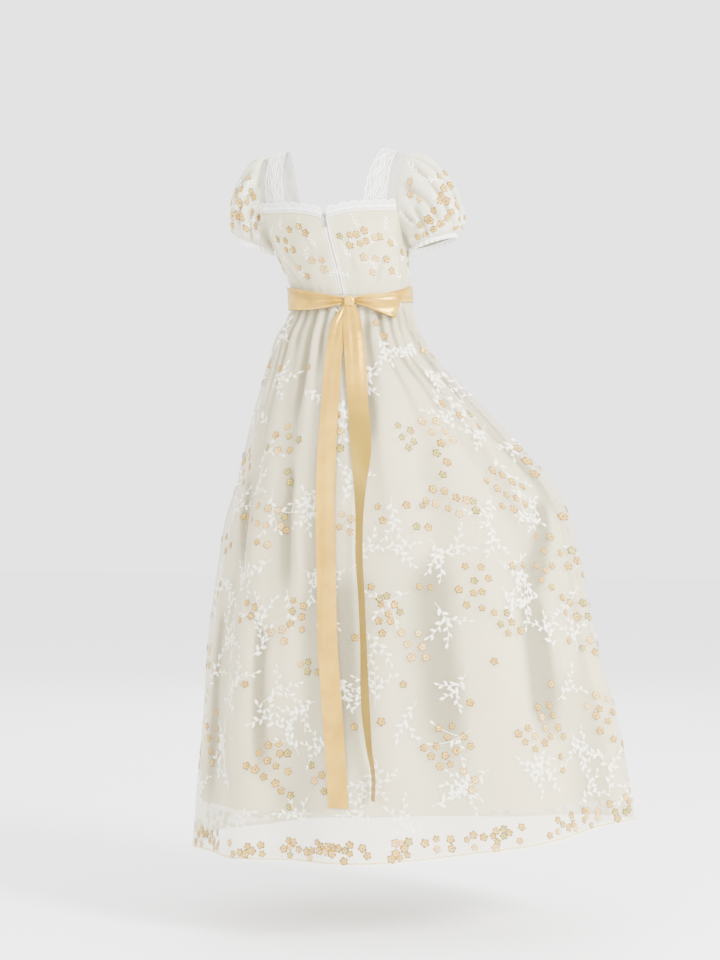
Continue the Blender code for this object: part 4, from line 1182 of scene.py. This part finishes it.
# The neck lace: a narrow scalloped edging with small loops, stitched round the neck above a corded binding.
NECK_LIFT = 0.0016
NECK_BELOW = 0.010
NECK_RUNS = (
    # name, first and last angle, scallops, length
    ("back_left", 1.8, 62.5, 7, 0.13),
    ("back_right", -62.5, -1.8, 7, 0.13),
    ("front", STRAP_OUTER_FRONT + 2.5, 360 - STRAP_OUTER_FRONT - 2.5, 13, 0.25),
)


def neck_form(angle, above):
    angle, above = alike(angle, above)
    foot, rise = bodice_rise(angle, 0.05)
    free = foot + rise * np.maximum(above, 0)[..., None]
    return np.where((above > 0)[..., None], free, bodice_form(angle, top_edge(angle) + np.minimum(above, 0)))


for word, first, last, scallops, length in NECK_RUNS:

    def edging(angle, share):
        round_top = np.abs(np.sin(math.pi * (angle - first) / (last - first) * scallops)) ** 0.7
        top = 0.0052 + 0.0058 * round_top
        return raised(neck_form, NECK_LIFT, 0.3, 0.001, angle, top - (NECK_BELOW + top) * share)

    columns = np.linspace(first, last, scallops * 22 + 1)
    trim = sheet_mesh(f"neck_lace_{word}", edging, columns, np.linspace(0, 1, 8), lace_finish)
    cords = Cords(edging, 0.25, 0.04, facing=-1)
    fine = np.linspace(first + 0.1, last - 0.1, scallops * 28 + 1)
    turn = 2 * math.pi * (fine - first) / (last - first) * scallops
    for path, width, lift in (
        (0.04, 0.0018, 0.0008),
        (0.60, 0.0026, 0.0010),
        (0.95, 0.0014, 0.0006),
        (0.36 - 0.17 * np.abs(np.sin(turn / 2)), 0.0014, 0.0006),
        (0.44 + 0.10 * np.cos(turn * 3), 0.0010, 0.0005),
        (0.78 + 0.08 * np.sin(turn * 3), 0.0012, 0.0006),
    ):
        cords.add(fine, path, width, lift)
    trim_cords = cords.build(f"neck_lace_cords_{word}", lace_cord_finish, "lace")
    dress(trim, "lace", [f"lace_neck_{word}"], flat=(length, 0.021), held="stretched",
          rests_on=["bodice"], with_pieces=[trim_cords])


# The puff sleeves: embroidered net over the pale lining, gathered into each armhole and into an elastic
# at the cuff, below which the edge stands out as a small frill.
SLEEVES = {
    # the cuff's middle out and up, its half width and depth, its tilt, and how far the sleeve puffs out
    1: (0.1625, -0.178, 0.0345, 0.041, 0.013, 0.040),
    -1: (0.1935, -0.178, 0.0445, 0.045, 0.014, 0.046),
}
SLEEVE_GATHERS = 12
SLEEVE_CREASES = (
    # share round at the head, at the cuff, first and last part of the length, half width, depth
    (0.055, 0.02, 0.05, 0.8, 0.016, -0.005), (0.11, 0.095, 0.04, 0.95, 0.013, -0.0062),
    (0.15, 0.15, 0.1, 0.7, 0.016, 0.0045), (0.195, 0.18, 0.04, 0.85, 0.014, -0.006),
    (0.25, 0.255, 0.3, 1, 0.015, -0.0045), (0.3, 0.29, 0.05, 0.7, 0.013, -0.0042),
    (0.945, 0.975, 0.05, 0.85, 0.015, -0.0055), (0.895, 0.9, 0.04, 0.9, 0.014, -0.0058),
    (0.85, 0.845, 0.1, 0.75, 0.016, 0.0042), (0.8, 0.815, 0.04, 0.9, 0.014, -0.0055),
    (0.74, 0.75, 0.2, 0.95, 0.014, -0.0042),
)
SLEEVE_GROUPS = {
    # share round, along, blossoms, thread, lean, spread
    1: (
        (0.17, 0.2, 7, "gold", 0.4, 0.032), (0.27, 0.22, 5, "gold", 0.9, 0.024),
        (0.08, 0.55, 5, "peach", 0.6, 0.022), (0.94, 0.3, 5, "gold", 0.2, 0.022),
        (0.86, 0.6, 4, "gold", 1, 0.02), (0.2, 0.62, 3, "gold", 1.2, 0.014),
        (0.03, 0.82, 4, "gold", 1.4, 0.02),
    ),
    -1: (
        (0.15, 0.66, 9, "gold", 1.2, 0.036), (0.05, 0.52, 7, "gold", 0.4, 0.032),
        (0.27, 0.74, 4, "gold", 0.9, 0.02), (0.2, 0.26, 3, "peach", 0.5, 0.016),
        (0.92, 0.3, 5, "gold", 0.2, 0.022), (0.86, 0.62, 4, "gold", 1, 0.02),
        (0.02, 0.84, 5, "gold", 1.4, 0.026),
    ),
}


def sleeve_creases(share, along):
    out = np.zeros(np.broadcast(share, along).shape)
    for head, cuff, first, last, half_width, depth in SLEEVE_CREASES:
        part = (along - first) / (last - first)
        middle = head + (cuff - head) * part + 0.006 * np.sin(5 * part + 40 * head)
        fade = np.clip(part / 0.2, 0, 1) * np.clip((1 - part) / 0.3, 0, 1)
        out = out + depth * bell((share - middle + 0.5) % 1 - 0.5, half_width) * fade * fade * (3 - 2 * fade)
    return out


def armhole_table(side):
    """The armhole from the shoulder through the back, with the part of its length at each point."""
    forty = np.arange(40) / 40
    angles = side * between(STRAP_OUTER_BACK, STRAP_OUTER_FRONT, forty)
    down, up = yoke_form(side, 1, 0.5 + 0.5 * forty), yoke_form(side, 1, 0.5 * np.arange(41) / 40)
    run = np.concatenate([down, gown_ring(angles, top_edge(angles)), up])
    lengths = run_along(run, 0)
    return lengths / lengths[-1], run


def cuff_ring(side, share, down=0.0, out=0.0):
    cuff_x, cuff_z, half_x, half_y, tilt, _ = SLEEVES[side]
    turn = 2 * math.pi * share
    x = side * (cuff_x + (half_x + out) * np.cos(turn))
    return np.stack([x, -0.004 + (half_y + out) * np.sin(turn), cuff_z + tilt * np.cos(turn) - down], -1)


def sleeve_form(side):
    """A sleeve: share round it from the shoulder through the back, along from the armhole to the cuff."""
    parts, run = armhole_table(side)
    puff = SLEEVES[side][-1]

    def armhole(share):
        return np.stack([np.interp(share % 1.0, parts, run[:, k]) for k in range(3)], -1)

    head_middle = (armhole(0.5) + armhole(0.0)) / 2
    cuff_side = cuff_ring(side, 0.25)

    def form(share, along):
        share, along = alike(share, along)
        turn = 2 * math.pi * share
        over, back = np.cos(turn), np.sin(turn)
        upper = (1 + over) / 2
        head = armhole(share) + np.array((side * 0.0006, 0, 0))
        foot = cuff_ring(side, share)
        leave = [side * (0.003 + (0.007 + puff) * upper), back * 0.020 * upper, 0.020 * over * upper]
        leave = np.stack(leave, -1)
        swell = 0.004 + (0.008 + 0.8 * puff) * upper
        arrive = np.stack([side * swell * over, back * 0.026, 0.003 + 0.019 * upper], -1)
        point = bezier(head, head + leave, foot + arrive, foot, along)
        middle = np.sin(math.pi * np.clip(along, 0, 1)) ** 2
        uneven = SLEEVE_GATHERS * turn + 0.7 * np.sin(3 * turn + 1.0)
        out = 0.0026 * np.cos(uneven) * bell(along - 0.16, 0.14) * upper
        out = out + 0.0020 * np.cos(2 * uneven + 1.0) * bell(along - 0.86, 0.10) * (0.3 + 0.7 * upper)
        folds = np.cos(5 * turn + 0.6) + 0.55 * np.cos(9 * turn + 1.3 + 1.5 * along)
        folds = folds + 0.35 * np.cos(14 * turn + 2.0 - 2.0 * along)
        out = out + 0.0036 * folds * middle * (0.25 + 0.75 * upper) + sleeve_creases(share, along)
        centre = head_middle + (cuff_side - head_middle) * along[..., None]
        return point + unit(point - centre) * out[..., None]

    return form


SLEEVE_TONES = ((0.73, 0.68, 0.51), (0.58, 0.555, 0.41))
sleeve_finish = new_material("sleeve_net", MOUNTED_SHEEN, net_over_cloth, *SLEEVE_TONES)
cuff_finish = new_material("cuff_net", SHEER_SHEEN, sheer_look, (0.93, 0.93, 0.88), 0.78)
for side, word in SIDES:
    form = sleeve_form(side)
    round_it, rows = np.arange(180) / 180, np.linspace(0, 1, 60)
    # The sleeve's creases also set its painted shade
    sleeve = sheet_mesh(f"puff_sleeve_{word}", form, round_it, rows, sleeve_finish,
                        ring=True, flip=side > 0, crease=sleeve_creases, deepest=0.0065)
    dress(sleeve, "embroidered_net", [f"sleeve_{word}"],
          flat=(0.50, 0.16), held="gathered", rests_on=["bodice"], area=0.055)

    def frill(share, down):
        turn = 2 * math.pi * share
        wave = 0.0018 * down * np.cos(2 * SLEEVE_GATHERS * turn + 0.8 * np.sin(4 * turn))
        return cuff_ring(side, share, 0.00045 + 0.009 * down, wave + 0.001 * down)

    round_it, rows = np.arange(360) / 360, np.linspace(0, 1, 8)
    cuff = sheet_mesh(f"cuff_frill_{word}", frill, round_it, rows, cuff_finish, ring=True, flip=side > 0)
    dress(cuff, "embroidered_net", [f"cuff_{word}"],
          flat=(0.28, 0.010), held="gathered", rests_on=[f"puff_sleeve_{word}"])

    girths, lines = np.linspace(0, 1, 21), np.linspace(0, 1, 41)
    girth = run_along(form(np.linspace(0, 1, 121)[None, :], girths[:, None]), 1)[:, -1]
    length = run_along(form(lines[:, None], lines[None, :]), 1)[:, -1]

    def on_sleeve(shares, alongs, across, up, lift):
        share = shares + across / np.interp(alongs, girths, girth)
        along = alongs - up / np.interp(shares % 1, lines, length)
        return form(share, along) - side * outward(form, share, along, 0.004, -0.01) * lift[..., None]

    places = []
    for share, along, blossoms, thread, lean, spread in SLEEVE_GROUPS[side]:
        around, deep = np.interp(along, girths, girth), np.interp(share, lines, length)
        for x, y in leaning(blossoms, lean, spread):
            places.append((share + x / around, along - y / deep, thread, chance.uniform(0.0066, 0.0082)))
    places = [place for place in places if 0.08 < place[1] < 0.93]
    stitch_blossoms(f"sleeve_blossoms_{word}", on_sleeve, places)
    leaves = Stitching(on_sleeve)
    spots = spots_of(places)
    for level, along in enumerate((0.22, 0.42, 0.62, 0.80)):
        for share in np.arange((level % 2) * 0.07, 1.0, 0.135):
            if 0.36 < share < 0.64:
                continue
            spot = share + chance.uniform(-0.02, 0.02)
            scale = (np.interp(along, girths, girth), -np.interp(spot % 1, lines, length))
            turn, bend = chance.uniform(-1.1, 1.1), chance.uniform(-0.8, 0.8)
            sprig(leaves, spot, along, turn, 0.028, bend, 6, 0.0100, spots, scale)
    leaves.build(f"sleeve_leaves_{word}", thread_finishes["cream"], "embroidered_net")


# The sash: gold satin ribbon round the high waist, tied behind in a flat bow with two long tails. The face
# is smooth and bright; the ribbon creases where it runs into the knot.
SASH_HEIGHT = 0.030
RIBBON = 0.038
KNOT_ANGLE = -7.0
KNOT_HEIGHT = -0.3015
KNOT_TURN = 1.05
SATIN = ((0.43, 0.240, 0.012), (0.61, 0.370, 0.032))
# Painted shade: the tails' satin is a darker, flatter-toned copy of the same ribbon
TAIL_SATIN_SHADED = ((0.48, 0.268, 0.016), (0.57, 0.335, 0.024))
SATIN_BACK = (0.30, 0.185, 0.010)
# Painted shade: the darker colour that the satin turns to in its creases
SATIN_FOLD_SHADE = (0.17, 0.085, 0.005)
SATIN_SHEEN = {"Roughness": 0.27, "Metallic": 0.4, "Specular IOR Level": 0.5, "Anisotropic": 0.5}


def satin_look(place, along, down, deep, colour, turned=None):
    """Satin ribbon: threads along its length that shine across them, with clouded tones and painted shade in
    the creases.
    """
    face = place.noise(0.035, 3.0, 0.55).over(0.32, 0.68).colours(deep, colour)
    if turned:
        face = down.over(*turned).colours(face, SATIN_BACK)
    relief = along.wave(0.0005).bump(0.00003, place.noise(0.02, 3.0).bump(0.0010))
    return {"Base Color": face.with_painted_fold_shade(SATIN_FOLD_SHADE), "Normal": relief}


satin_finish = new_material("gold_satin", SATIN_SHEEN, satin_look, *SATIN)
# Painted shade: both tails take the darker copy of the satin; the turned one also shows the ribbon's back
# lower down
tail_shaded_finish = new_material("gold_satin_tail_shaded", SATIN_SHEEN, satin_look, *TAIL_SATIN_SHADED)
turned_finish = new_material("gold_satin_turned", SATIN_SHEEN, satin_look, *TAIL_SATIN_SHADED, (0.16, 0.26))


def sash_crease(angle, share):
    """Low lengthwise creases, deepest beside the knot."""
    turn = np.radians(angle)
    near = bell(from_middle(angle - KNOT_ANGLE), 26)
    crease = 0.0009 * np.sin(9 * share + 2.2 * np.sin(turn * 2)) * (0.35 + 0.65 * near)
    return crease + 0.0006 * np.cos(2 * math.pi * share * 1.6 + 3 * turn)


def sash_form(angle, share):
    angle, share = alike(angle, share)
    top = -0.278 - 0.013 * ((1 + np.cos(np.radians(angle))) / 2) ** 2 + SASH_HEIGHT / 2
    drawn_in = np.clip(1 - np.abs(from_middle(angle - KNOT_ANGLE)) / 72, 0, 1)
    foot = top - SASH_HEIGHT
    top = top + (-0.2945 - top) * drawn_in
    return stand_off(angle, top + (foot - top) * share, 0.0034 + sash_crease(angle, share))


# The band's creases also set its painted shade
sash = sheet_mesh("sash", sash_form, np.arange(0, 360, 1.5), np.linspace(0, 1, 16), satin_finish,
                  ring=True, crease=sash_crease, deepest=0.0026)
dress(sash, "gold_satin", ["sash_band"],
      flat=(0.72, SASH_HEIGHT), held="stretched", rests_on=["bodice", "net_skirt"])

# For each loop: the ribbon's length, how far its fold tilts, and its rows
LOOPS = {
    "left": (0.29, -6.0, (
        (0, -0.6, -301, 7, 8.5), (0.12, 12, -301, 12.5, 11.8), (0.24, 28, -299, 18, 14),
        (0.38, 52, -293, 22, 14.5), (0.47, 67, -290.5, 23.2, 12), (0.5, 69, -290, 23.5, 8.5),
        (0.53, 67, -290.5, 23.2, 5.2), (0.62, 52, -293, 21.5, 4.6), (0.76, 28, -299, 17, 4.6),
        (0.88, 12, -301, 11.5, 4.6), (1, -0.6, -301, 6.5, 5),
    )),
    "right": (0.19, 9.0, (
        (0, -13.6, -301, 7, 8.5), (0.14, -22, -301, 12, 12.2), (0.28, -33, -304.5, 17.5, 15),
        (0.4, -45, -308.5, 20.5, 16), (0.47, -52, -311.5, 21.5, 13.8), (0.5, -54, -312, 21.5, 10),
        (0.53, -52, -311.5, 21, 6.6), (0.62, -43, -308, 19.5, 5.2), (0.76, -31, -304, 16, 4.8),
        (0.88, -21, -301, 11, 4.6), (1, -13.6, -301, 6.5, 5),
    )),
}


def loop_crease(along, share):
    """Creases that fan out from the knot, and softer ones over the rest of the loop."""
    near = bell(np.minimum(along, 1 - along), 0.19)
    return 0.0021 * np.sin(15 * share + 1.0) * near + 0.0019 * np.sin(6.5 * share + 9 * along) * (1 - near)


def loop_form(table, tilt, along, share):
    along, share = alike(along, share)
    angle = table.smooth("angle", along) + tilt * (share - 0.5) * bell(along - 0.5, 0.2)
    height = table.smooth("height", along) + table.smooth("half_width", along) * (1 - 2 * share)
    crease = loop_crease(along, share) * np.where(along < 0.5, 1.0, 0.3)
    return stand_off(angle, height, table.smooth("out", along) + crease)


for word, (length, tilt, rows) in LOOPS.items():
    form = partial(loop_form, Table("along angle height half_width out", in_metres(rows, 2, 3, 4)), tilt)
    columns, rows = np.linspace(0, 1, 121), np.linspace(0, 1, 28)
    # The loop's creases also set its painted shade
    loop = sheet_mesh(f"ribbon_loop_{word}", form, columns, rows, satin_finish,
                      flip=word == "right", crease=loop_crease, deepest=0.0046)
    dress(loop, "gold_satin", [f"bow_loop_{word}"],
          flat=(length, RIBBON), held="folded", rests_on=["sash", "bow_knot_cloth"])


def knot_form(around, high):
    """The knot's face: a flattened roll of ribbon with upright gathers."""
    turn = 2 * math.pi * around
    ring = np.cos(high) ** 0.5
    c, s = np.cos(turn), np.sin(turn)
    ridge = 1 + 0.10 * np.cos(9 * turn + 0.5 * np.sin(3 * high)) * (s > -0.2)
    x = 0.0100 * ring * np.sign(c) * np.abs(c) ** 0.75
    y = 0.0046 * ring * np.sign(s) * np.abs(s) ** 0.8 * ridge
    z = 0.0090 * np.sin(high) / math.sin(KNOT_TURN) * (1 + 0.04 * np.cos(9 * turn))
    out = level_normal(KNOT_ANGLE, KNOT_HEIGHT)
    across = np.array((out[1], -out[0], 0))
    centre = stand_off(KNOT_ANGLE, KNOT_HEIGHT, 0.0096)
    return centre + x[..., None] * across + y[..., None] * out + z[..., None] * np.array((0, 0, 1.0))


knot_grid = knot_form(*np.meshgrid(np.arange(96) / 96, np.linspace(KNOT_TURN, -KNOT_TURN, 28)))
knot_map = np.meshgrid(np.linspace(0, 0.04, 97), np.linspace(0, 0.018, 28))
bow_knot = grid_mesh("bow_knot_cloth", knot_grid, *knot_map, satin_finish, ring=True)
dress(bow_knot, "gold_satin", ["bow_knot"], flat=(0.052, 0.020), held="folded",
      rests_on=["ribbon_loop_left", "ribbon_loop_right", "sash"])

# For each tail: how far it stands off under the knot, and its rows of height, middle, width and twist
TAILS = {
    "left": (0.0004, (
        (-303, -44.5, 13, 0), (-316, -40, 20, 0), (-345, -30, 28, 0), (-400, -25, 33, 0),
        (-490, -22.5, 35, 0), (-585, -19.5, 37, 0), (-680, -19, 37, 0), (-790, -23.5, 37.5, 0),
        (-855, -27, 38, 0), (-950, -32, 39.5, 0), (-1050, -42, 40, 0), (-1145, -51.5, 39.5, 0),
        (-1242, -60.5, 38.5, 0),
    )),
    "right": (0.0026, (
        (-303, -46.5, 15, 0), (-316, -50, 25, 0), (-345, -56, 34, 0), (-400, -64.5, 38.5, 0),
        (-490, -75, 38.5, 1), (-585, -85, 40, 6), (-650, -87, 27, 16), (-710, -88, 19, 22),
        (-790, -90, 18, 24), (-855, -96, 17, 24), (-950, -102.5, 17, 24), (-1050, -108, 20, 22),
        (-1130, -117, 15, 22), (-1180, -126, 12, 22), (-1226, -126.5, 11, 22),
    )),
}
TAIL_FINISHES = {"left": tail_shaded_finish, "right": turned_finish}


def tail_crease(across, height):
    """Upright creases under the knot that fade down the tail, and slow bends of the ribbon below."""
    crease = 0.0012 * np.sin(14 * across + 1.0 + 8 * height) * bell(height + 0.32, 0.10)
    return crease + 0.0007 * np.sin(3.2 * across + 17 * height) + 0.0003 * np.sin(41 * height + 2 * across)


def tail_form(table, over_top, across, height):
    across, height = alike(across, height)
    x = table.smooth("middle", height) + table.smooth("width", height) * across
    centre = GOWN.smooth("middle", height)
    half_width = np.where(x > centre, GOWN.smooth("left", height), GOWN.smooth("right", height))
    angle = np.degrees(np.arcsin((x - centre) / half_width))
    out = FOLD_DEPTHS.straight("gather", height) + FOLD_DEPTHS.straight("fold", height)
    out = out + np.maximum(FOLD_DEPTHS.straight("long_fold", height) * long_wave(angle), -0.002) + 0.0028
    out = out + over_top * bell(height + 0.32, 0.10)
    out = out + np.maximum(table.smooth("twist", height), 0) * (0.5 - across)
    return np.stack([x, gown_ring(angle, height)[..., 1] + out + tail_crease(across, height), height], -1)


for word, (over_top, rows) in TAILS.items():
    table = Table("height middle width twist", in_metres(rows))
    form = partial(tail_form, table, over_top)
    across, heights = np.linspace(0.5, -0.5, 15), np.linspace(table.places[-1], table.places[0], 260)
    # The tail's creases also set its painted shade
    tail = sheet_mesh(f"ribbon_tail_{word}", form, across, heights, TAIL_FINISHES[word],
                      flip=True, crease=tail_crease, deepest=0.0075)
    dress(tail, "gold_satin", [f"tail_{word}"],
          flat=(RIBBON, 0.95), held="hung", rests_on=["net_skirt", "bow_knot_cloth"], area=0.034)


size = {"cad": [list(cad_low), list(cad_high)], "visual": [list(v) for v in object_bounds()]}
